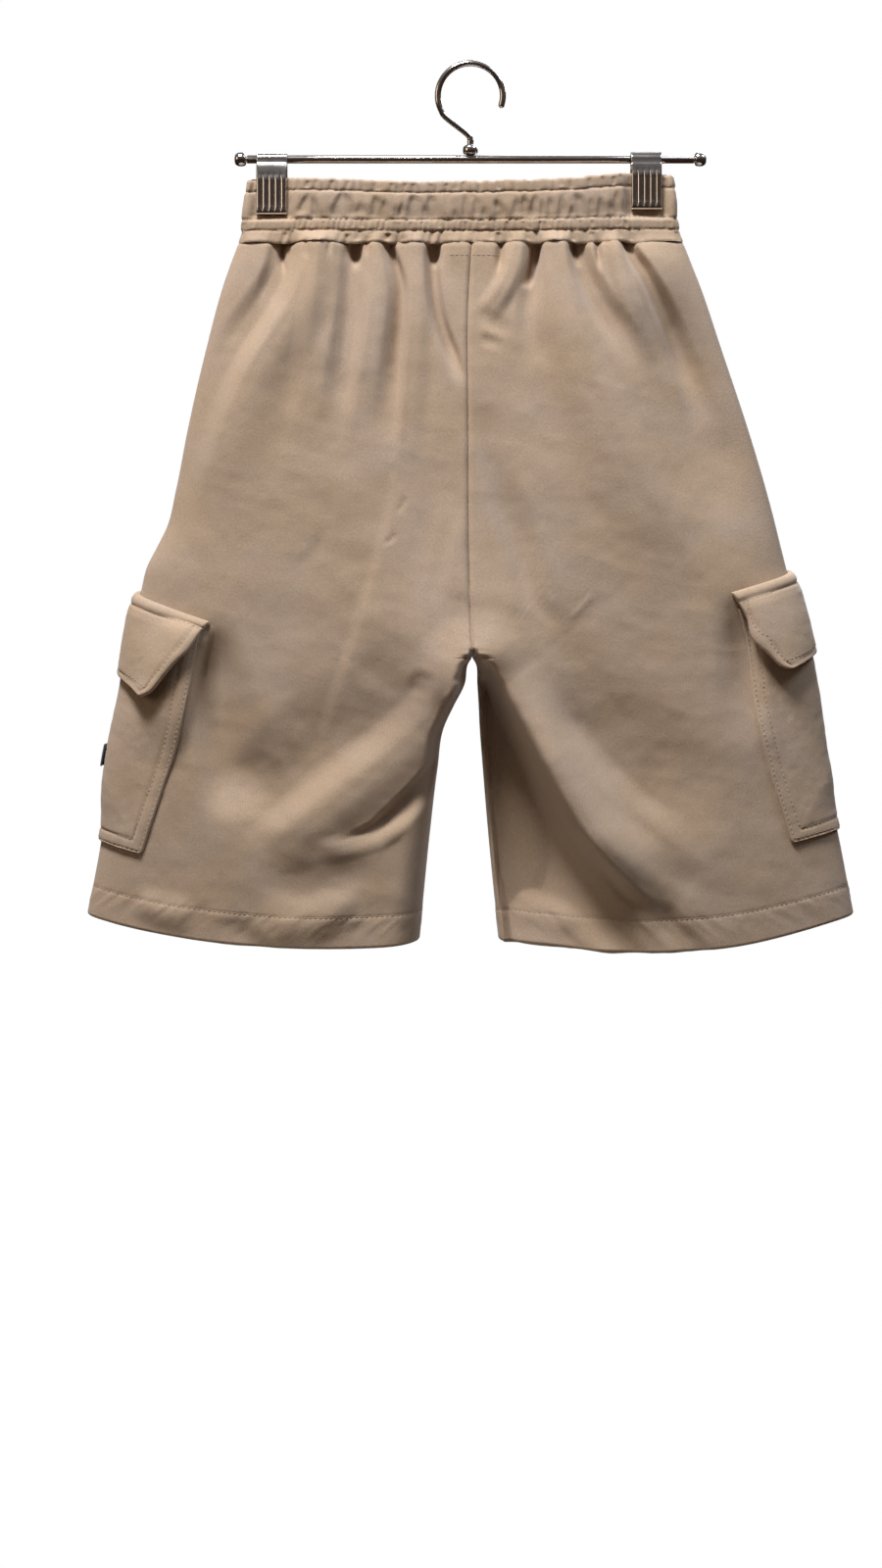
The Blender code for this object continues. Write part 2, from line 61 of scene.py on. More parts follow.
def table(header, *rows):
    """A dictionary of columns, one array for each name in the header."""
    return dict(zip(header.split(), np.array(rows, float).T))


OUTER = {
    "left": table(
        "down x",
        (40, -142), (62, -150), (106, -162), (154, -173), (190, -180), (214, -186), (226, -192),
        (238, -198), (250, -201), (286, -207), (310, -210), (358, -220), (406, -226), (448, -234),
    ),
    "right": table(
        "down x",
        (40, 130), (62, 139), (106, 154), (154, 170), (202, 184), (226, 190), (250, 196),
        (286, 204), (310, 208), (358, 216), (406, 226), (448, 234),
    ),
}
INNER = table(
    "share down left right back front",
    (0.00, 40, 0.6, 0.6, 9, 9),
    (0.10, 82, -1.8, -1.8, 16.5, 14.5),
    (0.25, 146, -1.6, -1.6, 23, 20),
    (0.45, 230, -1.2, -1.2, 30, 26),
    (0.54, 268, 0.0, 0.0, 32, 26),
    (0.572, 281, 0.6, 0.6, 32, 26),
    (0.584, 287, 0.9, 0.9, 32, 26),
    (0.591, 290, 1.0, 1.0, 29, 24),
    (0.594, 291.2, 1.0, 1.0, 19, 16),
    (CROTCH_SHARE, 292, 1.0, 1.0, 0, 0),
    (0.61, 297, -1.6, 3.4, 0, 0),
    (0.64, 309, -3.5, 4.2, 0, 0),
    (0.67, 322, -10, 5.0, 0, 0),
    (0.70, 335, -16, 5.6, 0, 0),
    (0.76, 360, -20, 7.5, 0, 0),
    (0.86, 402, -25, 11, 0, 0),
    (1.00, 463, -31, 17, 0, 0),
)
HEM_DROP = INNER["down"][-1] - SEAM_DOWN  # inner edge of a leg, from the waist seam to the hem
FORM = table(
    # half depth of a leg to the back and front, squareness at the side seam, and how far from each
    # leg's inner edge its cloth takes to round away
    "share back front square left right",
    (0.00, 9, 9, 5.0, 14, 14),
    (0.10, 16.5, 14.5, 4.0, 14, 14),
    (0.25, 23, 20, 3.2, 14, 14),
    (0.45, 30, 27, 2.8, 14, 14),
    (0.60, 33, 30, 2.6, 9, 14),
    (0.70, 34, 31, 2.6, 10, 20),
    (0.80, 34, 32, 2.6, 15, 24),
    (1.00, 33, 32, 2.6, 22, 30),
)
LEG_SPAN = 236.0  # cloth from the left side seam round to the inner edge at the hem
RIGHT_DROOP = 4.0  # how much further the right leg's hem hangs towards its outer side
DROOP_PEAK = 0.62  # share of the way from the inner edge to the side seam where it hangs most
CROTCH_TURN = 0.014  # share of the way over which the seat's folds die away above the crotch point
CROTCH_BLEND = 0.02  # and over which the seat's form turns into a leg's tube
INNER_SQUARE = 2.4  # how square a leg's inner side is
INSEAM_X = 17.8  # the right inseam shows on the back here
INSEAM_FROM = 0.64  # and from this share of the way down

BAND_ENDS = table(
    "down left right", (0, -136, 124), (6, -137, 125), (22, -139, 126), (34, -140, 128), (40, -142, 130)
)
BAND_TOP = table("x down", (-137, 1.0), (-121, 0), (-60, 1.6), (0, 2.2), (60, 0), (107, -3.0), (125, -2.0))
BAND_HALF_DEPTH = 9.0
BAND_SQUARE = 5.0
BAND_LENGTH = 560.0  # round its lower edge
CLIP_X = {"left": -121.5, "right": 107.5}
CLIP_WIDTH = 18.6
CLIP_BITE = 22.3  # how far down the band a clip holds it flat
PINCHED = 3.9  # half the band's depth there
PINCH_FLAT = 9.7
PINCH_FADE = 7.0
BAR_RISE = 12.0
BAR_RADIUS = 2.5
BAR_END = 137.0
HOOK_WIRE = 1.9
HOOK_INSIDE = 18.0
HOOK_TURNS = (222, -30, -15)  # degrees round its arc from the neck to the tip, and their step

# Cargo pockets.  The rear and front edges are distances round the leg from the side seam (the back is
# positive) at a piece's top, middle and bottom.  The ends are shares of the way from waist seam to
# hem, at its rear edge, the side seam and its front edge.
POCKETS = {
    "left": dict(
        rear=(54, 51, 38), front=(-56, -63, -68), top=(0.570, 0.532, 0.512), bottom=(0.896, 0.892, 0.887),
        flap_rear=(57, 46, 34), flap_front=(-60, -50, -38), flap_top=(0.552, 0.522, 0.501),
    ),
    "right": dict(
        rear=(47, 48, 41), front=(-69, -70, -70), top=(0.536, 0.512, 0.490), bottom=(0.878, 0.876, 0.873),
        flap_rear=(49, 41, 32), flap_front=(-72, -62, -50), flap_top=(0.511, 0.491, 0.470),
    ),
}
EDGE_SHARES = np.array((0, 0.5, 1))
PATCH_SPANS = {"pocket": (122, 150), "flap": (116, 52)}  # width and length, for the mesh's fineness
PATCH_CORNERS = {"pocket": 2.0, "flap": 6.0, "label": 0.5}  # radius of the bottom corners
SHEET_REACH = 92.0  # how far round from a side seam the leg's cloth is read under the pieces
SHEET_ENDS = (0.44, 0.96)  # and between which shares of the way down
FLAP_DROP = 0.120
LABEL = dict(side="left", near=5, far=-24, top=0.752, height=0.032)
LABEL_RISE = 5.6  # the label's underside above the leg's cloth, on the pocket
POCKET_STITCH = (1.8, 7.8)
FLAP_STITCH = 4.0
STRIP = 6.5  # the flap's sewn strip, from its top edge to its line of stitching
FLAP_HANG = table("below lift", (0, 0.6), (3, 2.4), (6.5, 2.6), (12, 3.8), (30, 4.4), (52, 5.0))
PATCH_DOWN = 7.5  # stitched line of the centre-back patch below the waist seam
PATCH_REACH = {"left": 14, "right": 19}

# ---------------------------------------------------------------- folds
# path: (x, down) points from its top; height: a valley is negative; flat: half-width of its level
# middle; left, right: width of its flanks on that side of the path; each pair is at the path's top
# and bottom; fades: share of the path over which it comes in and dies away.
BACK_FOLDS = (
    # name, path, height, flat, left, right, fades
    # pleats and bulges that come out of the waist seam
    ("side bulge", ((-127, 22), (-129, 40), (-136, 62), (-147, 92)), 2.0, (4, 7), (6, 9), (4, 8),
     (0.12, 0.6)),
    ("side pleat", ((-114, 22), (-115, 50), (-121, 66), (-133, 86), (-147, 108), (-158, 132), (-165, 156)),
     -3.5, (1.5, 4), (6, 16), (7, 18), (0.1, 0.6)),
    ("side notch", ((-114, 32), (-115, 48), (-113, 62)), -4.5, (0.5, 0.3), (3, 2.5), (3, 2.5), (0.15, 0.5)),
    ("long crest left", ((-96, 22), (-97, 42), (-100, 60), (-106, 77), (-116, 94), (-128, 112), (-140, 136),
     (-150, 164), (-160, 196), (-168, 230)), 5.5, (2, 3), (11, 16), (13, 44), (0.06, 0.4)),
    ("broad bulge left", ((-88, 22), (-88, 60), (-92, 100), (-98, 150), (-106, 196)), 2.8, (4, 5), (8, 18),
     (7, 18), (0.08, 0.6)),
    ("nick one", ((-100, 35), (-100, 44), (-99, 53)), -1.5, (0, 0), (2, 2.5), (2, 2.5), (0.2, 0.5)),
    ("nick two", ((-86, 35), (-86, 43), (-86, 50)), -1.5, (0, 0), (2, 2.5), (2, 2.5), (0.2, 0.5)),
    ("second notch", ((-70, 28), (-70, 44), (-69, 58)), -6.5, (3, 1), (3, 3), (3, 3), (0.2, 0.45)),
    ("second recess", ((-72, 30), (-72, 60), (-73, 90), (-78, 126), (-85, 168)), -4.2, (1, 1), (6, 16),
     (6, 12), (0.12, 0.55)),
    ("nick three", ((-63, 35), (-63, 43), (-63, 50)), -1.4, (0, 0), (2, 2.5), (2, 2.5), (0.2, 0.5)),
    ("second bulge", ((-58, 22), (-57, 60), (-60, 96), (-65, 136), (-71, 180)), 2.8, (2, 2), (5, 12),
     (8, 16), (0.09, 0.55)),
    ("third recess", ((-51, 26), (-48, 44), (-43.5, 58), (-41.5, 70), (-42, 86), (-44, 112), (-46, 140),
     (-49, 176)), -6.5, (0.4, 0.6), (7, 15), (2.6, 6), (0.1, 0.55)),
    ("third bulge", ((-36, 22), (-34, 50), (-34, 80), (-36, 120), (-40, 170), (-43, 196)), 2.5, (2, 3),
     (3, 8), (7, 13), (0.08, 0.5)),
    ("fourth notch", ((-22, 28), (-22, 44), (-21, 57)), -6.5, (3, 1.5), (3, 3), (3, 3), (0.2, 0.45)),
    ("fourth recess", ((-22, 30), (-22.5, 56), (-19, 84), (-11, 108), (-4, 129)), -6.0, (1.2, 0.8), (5, 7),
     (3.5, 4), (0.1, 0.3)),
    ("centre patch bulge", ((1, 22), (1, 52), (0, 66)), 2.0, (15, 8), (3, 10), (3, 10), (0.15, 0.6)),
    ("patch corner", ((19, 33), (18, 47), (17, 60)), -3.5, (0.5, 0), (3, 3), (2.5, 3), (0.2, 0.5)),
    ("fifth bulge", ((29, 22), (29, 40), (24, 60), (12, 80), (1, 88)), 3.2, (2, 2), (6, 8), (5, 9),
     (0.1, 0.4)),
    ("fifth notch", ((41, 28), (40, 44), (38, 54), (33, 69)), -8.0, (1, 1.2), (3.5, 3.5), (3, 3.5),
     (0.2, 0.3)),
    ("fifth recess", ((40, 30), (39, 60), (35, 80), (36, 100), (40, 120)), -3.0, (1, 0.5), (7, 10), (4, 10),
     (0.15, 0.5)),
    ("long crest right", ((52, 22), (53, 42), (55, 66), (59, 88), (66, 112), (77, 140), (90, 170),
     (105, 200), (124, 230), (144, 262)), 4.5, (4, 3), (7, 40), (8, 30), (0.06, 0.45)),
    ("sixth notch", ((63, 30), (63, 44), (66, 56)), -4.5, (0.8, 0.5), (3, 3), (3, 3), (0.2, 0.5)),
    ("sixth recess", ((62, 32), (68, 56), (78, 77), (91, 99), (104, 126)), -6.0, (2, 2), (5, 12), (6, 14),
     (0.12, 0.5)),
    ("seventh notch", ((77, 32), (77.5, 44), (79, 60)), -4.0, (0.3, 0), (2.5, 3), (2.5, 3), (0.2, 0.5)),
    ("seventh bulge", ((85, 22), (90, 56), (98, 80), (106, 104), (116, 130)), 2.6, (1, 2), (5, 9), (5, 8),
     (0.08, 0.5)),
    ("side recess right", ((95, 26), (96, 42), (107, 61), (119, 86), (127, 108), (136, 134), (144, 160)),
     -7.5, (0.8, 1.2), (4, 10), (4, 14), (0.08, 0.5)),
    ("side bulge right", ((114, 22), (122, 58), (133, 90)), 1.2, (6, 8), (5, 12), (5, 9), (0.1, 0.6)),
    ("fall to the right side", ((108, 56), (130, 120), (154, 180), (176, 236)), -8.5, (2, 2), (38, 50),
     (34, 36), (0.3, 0.4)),
    ("fullness on the right", ((40, 44), (176, 60)), 4.0, (1, 1), (150, 150), (20, 20), (0.5, 0.4)),
    # small marks on the seat
    ("seam dimple one", ((2, 80), (10, 86), (20, 93), (30, 97)), -1.0, (0, 0.5), (7, 8), (7, 8),
     (0.3, 0.5)),
    ("seam dimple two", ((4, 99), (13, 101), (24, 104)), -0.7, (0, 0), (6, 6), (6, 7), (0.3, 0.5)),
    ("seam ridge", ((3, 92), (13, 96), (26, 101)), 0.4, (0, 0), (5, 5), (5, 5), (0.3, 0.5)),
    ("beside the centre seam", ((-8, 196), (-9, 230), (-4, 262)), 1.5, (2, 2), (16, 16), (8, 6),
     (0.4, 0.3)),
    ("seat trough right", ((4, 128), (10, 164), (19, 196), (27, 222), (36, 256), (50, 292)), -4.0, (0, 1),
     (9, 12), (14, 20), (0.5, 0.35)),
    ("long soft line", ((-40, 150), (-43, 192), (-53, 234), (-66, 280), (-77, 312), (-89, 358), (-94, 374)),
     1.5, (0, 1), (8, 9), (22, 26), (0.3, 0.35)),
    ("thumb mark one", ((-40, 194), (-41, 200), (-46, 206)), -0.5, (0, 0), (3, 3), (3, 3), (0.3, 0.4)),
    ("thumb mark two", ((-45, 216), (-48, 221), (-54, 224)), -0.55, (0, 0), (3, 3), (3, 3), (0.3, 0.4)),
    ("left hip crease", ((-88, 188), (-88, 215), (-99, 234), (-116, 248)), -0.45, (0, 0), (7, 7), (7, 10),
     (0.3, 0.4)),
    ("seat crease left", ((-12, 204), (-17, 232), (-22, 266)), -0.7, (0, 0), (7, 8), (6, 8), (0.3, 0.4)),
    ("right hip crease", ((29, 214), (31, 236), (38, 256), (48, 268), (60, 274)), -0.7, (0, 0), (6, 7),
     (9, 10), (0.3, 0.3)),
    ("short bright crease", ((75, 252), (68, 260), (58, 270)), 0.4, (0, 0), (3, 3), (4, 5), (0.3, 0.3)),
    # the crotch and the thighs
    ("crotch crest", ((-31, 338), (-17, 325), (-8, 313), (0, 303), (8, 298), (18, 301), (28, 316),
     (38, 333), (47, 350)), 9.0, (1, 1), (16, 11), (38, 36), (0.3, 0.42)),
    ("crotch apron", ((-24, 326), (-12, 306), (0, 292), (10, 292), (24, 308)), 8.0, (1, 1), (16, 14),
     (90, 90), (0.45, 0.45)),
    ("crotch dimple", ((-26, 299), (-30, 308), (-33, 317)), -1.2, (1, 2), (8, 8), (8, 9), (0.35, 0.4)),
    ("crotch notch", ((-2, 296), (-5, 302), (-9, 308)), -3.0, (0, 0.5), (3, 4), (3, 3), (0.2, 0.4)),
    ("crotch pucker", ((-3, 306), (-9, 312), (-17, 319)), 1.0, (0, 0), (4, 5), (4, 5), (0.3, 0.4)),
)
FRONT_FOLDS = (
    # name, path, height, flat, left, right, fades
    ("side pleat left", ((-110, 22), (-113, 52), (-120, 76), (-132, 106), (-146, 142)), -7.0, (2, 3),
     (5, 12), (6, 18), (0.08, 0.6)),
    ("bulge one", ((-96, 22), (-99, 62), (-108, 104), (-122, 150)), 3.5, (6, 5), (4, 12), (4, 14),
     (0.08, 0.6)),
    ("recess two", ((-81, 22), (-84, 66), (-90, 102), (-95, 140)), -6.0, (3, 1), (3, 12), (3, 12),
     (0.09, 0.6)),
    ("bulge two", ((-65, 22), (-67, 70), (-70, 110), (-77, 166)), 3.2, (7, 5), (3, 10), (4, 11),
     (0.07, 0.5)),
    ("recess three", ((-47, 22), (-47, 62), (-50, 92), (-55, 126)), -6.0, (2, 1), (4, 10), (3, 10),
     (0.1, 0.6)),
    ("bulge three", ((-32, 22), (-31, 70), (-33, 112), (-39, 180)), 3.0, (7, 4), (3, 10), (3, 10),
     (0.07, 0.5)),
    ("recess four", ((-16, 22), (-15, 60), (-11, 86), (-6, 110)), -6.0, (2, 0.5), (3, 8), (3, 7),
     (0.12, 0.6)),
    ("bulge four", ((6, 22), (6, 58), (4, 84)), 2.6, (10, 5), (3, 10), (3, 10), (0.14, 0.6)),
    ("recess five", ((24, 22), (22, 60), (18, 86), (13, 108)), -6.5, (2, 0.5), (3, 8), (4, 8), (0.12, 0.6)),
    ("bulge five", ((41, 22), (44, 70), (50, 112), (62, 176)), 3.6, (8, 5), (3, 12), (3, 12), (0.07, 0.5)),
    ("recess six", ((59, 22), (64, 66), (72, 98), (80, 134)), -6.0, (2, 1), (3, 11), (4, 11), (0.1, 0.6)),
    ("bulge six", ((75, 22), (83, 70), (96, 110), (116, 160)), 3.5, (7, 5), (4, 12), (3, 14), (0.08, 0.55)),
    ("side pleat right", ((94, 22), (100, 60), (112, 98), (128, 142)), -7.0, (2, 3), (5, 12), (7, 18),
     (0.09, 0.6)),
    ("lap line left", ((-46, 176), (-62, 220), (-84, 268), (-98, 330)), 1.4, (0, 0), (5, 6), (15, 20),
     (0.2, 0.4)),
    ("lap line right", ((52, 182), (66, 226), (80, 270), (90, 322)), 1.4, (0, 0), (14, 18), (5, 6),
     (0.2, 0.4)),
    ("lap hollow", ((-14, 196), (-8, 226), (-2, 256)), -2.0, (1, 1), (14, 12), (12, 12), (0.3, 0.3)),
    ("crotch crest", ((-30, 334), (-16, 318), (-6, 303), (2, 291), (10, 296), (20, 314), (32, 332)), 7.0,
     (1, 1), (11, 11), (36, 36), (0.3, 0.3)),
    ("hip crease", ((112, 214), (100, 232), (92, 256)), -1.2, (0, 0), (5, 6), (7, 8), (0.3, 0.4)),
)
# folds that lie on one leg only
BACK_LEFT_FOLDS = (
    ("under left pocket's edge", ((-164, 270), (-172, 296), (-179, 326), (-186, 360)), 6.5, (5, 5),
     (20, 20), (6, 9), (0.15, 0.45)),
    ("beside left pocket", ((-162, 266), (-160, 290), (-156, 320), (-149, 352), (-138, 392)), -9.0, (1, 4),
     (9, 22), (22, 36), (0.3, 0.28)),
    ("left thigh hollow", ((-40, 306), (-60, 328), (-86, 347), (-109, 366), (-130, 386), (-142, 400)), -5.0,
     (2, 2), (44, 34), (24, 18), (0.4, 0.25)),
    ("left roll", ((-8, 310), (-17, 322), (-31, 336), (-45, 349), (-57, 360), (-71, 372), (-86, 384),
     (-99, 394), (-112, 403), (-124, 411)), 3.8, (2, 2), (20, 20), (26, 22), (0.2, 0.22)),
    ("left recess", ((-10, 346), (-24, 361), (-35, 373), (-50, 388), (-59, 396), (-75, 403), (-87, 406)),
     -5.0, (1.5, 1), (4.0, 5), (14, 10), (0.05, 0.4)),
    ("small ridge", ((-36, 384), (-47, 395), (-62, 402), (-80, 407), (-98, 410)), 2.4, (0, 1), (8, 9),
     (9, 9), (0.3, 0.3)),
    ("trough under the roll", ((-50, 416), (-68, 423), (-88, 428), (-108, 426), (-130, 419)), -1.9,
     (1, 1.5), (13, 15), (16, 18), (0.3, 0.3)),
    ("bright band", ((-64, 432), (-84, 447), (-105, 454), (-132, 454)), 2.6, (0, 0), (18, 20), (16, 16),
     (0.3, 0.3)),
    ("inner shade", ((-52, 424), (-64, 440), (-74, 452), (-84, 466), (-96, 492)), -1.0, (0, 1), (11, 12),
     (26, 24), (0.3, 0.1)),
    ("left hem swell", ((-206, 438), (-186, 446), (-164, 449)), 2.4, (0, 0), (12, 14), (14, 16),
     (0.3, 0.3)),
    ("left hem fall", ((-150, 446), (-136, 462), (-124, 478), (-112, 494)), -2.2, (0, 1), (12, 16),
     (12, 14), (0.3, 0.1)),
)
BACK_RIGHT_FOLDS = (
    ("beside right pocket", ((162, 246), (166, 274), (170, 304), (174, 346)), -6.0, (3, 3), (18, 24),
     (4, 6), (0.4, 0.5)),
    ("right thigh hollow", ((46, 280), (58, 304), (72, 330), (89, 352), (108, 370), (132, 386), (154, 400)),
     -6.5, (2, 3), (20, 18), (56, 50), (0.55, 0.4)),
    ("right roll", ((21, 304), (29, 318), (38, 334), (48, 354), (59, 375), (72, 396), (87, 414), (105, 430),
     (126, 443)), 17.0, (1, 2), (11, 12), (22, 28), (0.33, 0.38)),
    ("right recess", ((-8, 303), (3, 325), (10, 339), (18, 355), (26, 371), (35, 391), (45, 411), (57, 430),
     (73, 450), (92, 467), (110, 478)), -27.0, (8, 6), (85, 80), (15, 17), (0.02, 0.5)),
    ("right inner plane", ((2, 320), (10, 380), (22, 440), (32, 490)), -7.0, (10, 22), (40, 40), (16, 34),
     (0.3, 0.05)),
    ("right second trough", ((100, 404), (113, 414), (128, 424), (146, 432)), -1.2, (1, 1), (9, 12),
     (14, 14), (0.5, 0.4)),
    ("right hem swell", ((22, 440), (44, 448), (68, 456)), 2.0, (1, 1), (14, 14), (12, 12), (0.3, 0.3)),
    ("hem streak one", ((44, 436), (60, 452), (82, 476), (96, 494)), 2.0, (0, 1), (9, 10), (9, 10),
     (0.3, 0.1)),
    ("hem streak two", ((70, 442), (84, 456), (100, 474), (114, 494)), -2.0, (0, 1), (8, 10), (8, 10),
     (0.3, 0.1)),
    ("hem streak three", ((106, 438), (121, 454), (138, 476), (150, 496)), -2.6, (1, 2), (10, 12), (9, 12),
     (0.3, 0.1)),
)
FRONT_LEFT_FOLDS = (
    ("left thigh hollow", ((-58, 322), (-88, 346), (-118, 368), (-140, 382)), -8.0, (2, 2), (46, 46),
     (18, 16), (0.3, 0.3)),
    ("left roll", ((-6, 306), (-32, 334), (-64, 366), (-100, 398), (-128, 416)), 8.5, (2, 3), (24, 24),
     (9, 10), (0.15, 0.35)),
    ("left recess", ((-7, 332), (-24, 360), (-50, 390), (-82, 414)), -14.0, (1, 1), (7, 8), (34, 20),
     (0.12, 0.4)),
    ("left hem trough", ((-70, 424), (-98, 432), (-128, 426)), -5.0, (1, 1), (8, 10), (8, 10), (0.3, 0.3)),
    ("hem streak left", ((-120, 432), (-106, 450), (-94, 474), (-86, 494)), -2.4, (0, 1), (8, 11), (8, 11),
     (0.25, 0.1)),
    ("thigh crease", ((-128, 268), (-118, 290), (-116, 316)), -1.6, (0, 0), (7, 8), (6, 8), (0.3, 0.4)),
)
FRONT_RIGHT_FOLDS = (
    ("right thigh hollow", ((58, 318), (88, 344), (118, 366), (144, 384)), -8.0, (2, 2), (18, 16), (46, 46),
     (0.3, 0.3)),
    ("right roll", ((12, 302), (36, 334), (68, 368), (104, 398), (130, 412)), 8.5, (2, 3), (9, 12),
     (26, 30), (0.15, 0.35)),
    ("right recess", ((8, 318), (26, 352), (50, 384), (84, 414)), -14.0, (1, 1), (26, 30), (7, 10),
     (0.12, 0.4)),
    ("hem streak right", ((110, 434), (124, 452), (138, 474), (148, 494)), -2.4, (0, 1), (8, 11), (8, 11),
     (0.25, 0.1)),
)
FOLDS = {"back": BACK_FOLDS, "front": FRONT_FOLDS}
LEG_FOLDS = {
    "back": (BACK_LEFT_FOLDS, BACK_RIGHT_FOLDS),
    "front": (FRONT_LEFT_FOLDS, FRONT_RIGHT_FOLDS),
}

# Waistband: its rows between lines of stitching, from the top edge to the waist seam
BAND_ROWS = table(
    # pitch and depth of the ruffles in each row, and how far the row stands out
    "top bottom pitch depth pillow",
    (0.0, 7.6, 5.0, 0.7, 0.4),
    (7.6, 25.0, 7.0, 0.7, 1.2),
    (25.0, 32.2, 3.3, 0.8, 0.6),
    (32.2, 40.2, 5.6, 1.7, 0.2),
)
CHANNEL, LOWEST = 1, 3  # its broad channel, and the row that gathers into the waist seam
LEAST_SLACK = 0.5  # share of the lowest row's gathers that is left over a bulge
CLIP_CALM = 0.9  # share of the gathers that a clip presses flat
CALM_REACH = 11.0  # and how far round from its middle
RUFFLES = dict(
    # least and most of a ruffle's shift and width in pitches, its share of the row's depth, its
    # slant, and the share of the row that is missing where it stops short
    shift=(-0.3, 0.3), depth=(0.6, 1.2), width=(0.24, 0.34), slant=(-0.16, 0.16), missing=(0, 0.35),
)
SHORT_AT_TOP = 0.5  # share of the ruffles that stop short there
SHORT_AT_BOTTOM = 0.4
STITCH_LINES = BAND_ROWS["bottom"][:-1]
# The broad channel's own folds on the back: x at its top and bottom, depth, width, and the share of
# the channel where it starts and ends
CHANNEL_FOLDS = table(
    "top bottom depth width start end",
    (-98, -103, 1.8, 1.6, 0.10, 0.85), (-96, -93, 1.6, 1.3, 0.20, 1.00), (-92, -92, 0.9, 1.2, 0.45, 1.00),
    (-78, -82, 2.3, 1.9, 0.02, 1.00), (-76, -72, 1.8, 1.4, 0.05, 0.95), (-66, -67, 0.8, 1.6, 0.30, 0.90),
    (-58, -57, 2.6, 2.0, 0.12, 1.00), (-51, -54, 1.5, 1.4, 0.25, 1.00), (-46, -45, 1.1, 1.1, 0.40, 1.00),
    (-41, -43, 1.2, 1.2, 0.35, 1.00), (-35, -36, 2.4, 1.9, 0.00, 1.00), (-29, -28, 1.2, 1.2, 0.40, 1.00),
    (-25, -24, 2.3, 1.6, 0.00, 1.00), (-11, -10, 1.0, 1.2, 0.60, 1.00), (-4, -4, 1.1, 1.2, 0.10, 1.00),
    (2.4, 2.4, 1.0, 1.2, 0.10, 0.9), (7, 7, 0.9, 1.2, 0.50, 1.00), (13, 17, 2.3, 1.6, 0.25, 1.00),
    (27, 26, 1.3, 1.6, 0.20, 0.90), (31, 32, 2.0, 1.5, 0.10, 1.00), (38, 36, 2.1, 1.5, 0.10, 0.95),
    (42, 42, 1.3, 1.2, 0.30, 1.00), (46, 47, 1.6, 1.3, 0.20, 1.00), (54, 53, 1.7, 1.4, 0.15, 1.00),
    (61, 59, 1.4, 1.3, 0.50, 1.00), (62, 66, 2.3, 1.5, 0.05, 1.00), (71, 71, 1.4, 1.3, 0.30, 1.00),
    (77, 76, 1.6, 1.3, 0.30, 1.00), (82, 83, 1.0, 1.2, 0.40, 1.00), (87, 86, 1.9, 1.5, 0.10, 1.00),
    (92, 94, 1.2, 1.2, 0.05, 0.80),
)

# ---------------------------------------------------------------- fineness of the visible meshes
PANEL_STEP = {"back": 1.3, "front": 1.8}
BAND_STEP = 0.75
PATCH_STEP = 1.1
INNER_EVERY = 2  # the unseen side of a shell keeps one point in so many


def smooth_read(x, xs, ys):
    """Reads a table along a smooth curve through its points."""
    slope = np.gradient(ys, xs)
    i = np.clip(np.searchsorted(xs, x) - 1, 0, len(xs) - 2)
    step = xs[i + 1] - xs[i]
    t = np.clip((x - xs[i]) / step, 0, 1)
    return (
        (1 + 2 * t) * (1 - t) ** 2 * ys[i]
        + t * (1 - t) ** 2 * step * slope[i]
        + t * t * (3 - 2 * t) * ys[i + 1]
        + t * t * (t - 1) * step * slope[i + 1]
    )


def ease(t):
    """0 to 1 with level ends."""
    t = np.clip(t, 0, 1)
    return t * t * (3 - 2 * t)


def mix(a, b, t):
    return a + (b - a) * t


def dent(distance, width):
    """1 on a line, falling to 0 at a few widths from it."""
    return np.exp(-((distance / width) ** 2))


def rounded(q, square):
    """0 to 1 over a rounded corner, steep at first and level at last."""
    return (1 - (1 - q) ** square) ** (1 / square)


def rounded_edge(e, radius):
    """0 at an edge rising to 1 at a radius from it."""
    q = np.clip(e / radius, 0, 1)
    return np.sqrt(1 - (1 - q) ** 2)


def unit(vectors):
    return vectors / np.maximum(np.linalg.norm(vectors, axis=-1, keepdims=True), 1e-12)


def running(steps, axis=0):
    """The running total of steps along an axis, from 0."""
    return np.insert(np.cumsum(steps, axis=axis), 0, 0, axis=axis)


def points_at(at, reached, points):
    """Points at distances along a line of points."""
    return np.stack([np.interp(at, reached, column) for column in points.T], axis=-1)


def nearest(values, target):
    """Index of the value closest to a target."""
    return int(np.argmin(np.abs(values - target)))


def sign_of(side):
    return -1.0 if side == "left" else 1.0


def curve_through(points, pieces):
    """A smooth run of points through the given ones."""
    p = np.array(points, float)
    at = np.arange(len(p), dtype=float)
    fine = np.linspace(0, len(p) - 1, pieces * (len(p) - 1) + 1)
    return np.stack([smooth_read(fine, at, p[:, k]) for k in range(p.shape[1])], axis=1)


def soft_noise(x, y, size, seed):
    """Smooth random heights from -1 to 1 with features of the given size."""
    grid = np.random.default_rng(seed).uniform(-1, 1, (64, 64))
    gx, gy = x / size, y / size
    ix, iy = np.floor(gx).astype(int), np.floor(gy).astype(int)
    fx, fy = ease(gx - ix), ease(gy - iy)
    corner = [[grid[(ix + a) % 64, (iy + b) % 64] for b in (0, 1)] for a in (0, 1)]
    return mix(mix(corner[0][0], corner[1][0], fx), mix(corner[0][1], corner[1][1], fx), fy)


def to_world(x, down, out, face="front"):
    """Points in metres from places in millimetres."""
    y = out * (-1.0 if face == "back" else 1.0)
    return np.stack(np.broadcast_arrays(x, y, -WAIST_BELOW_HOOK - down), axis=-1) * MM


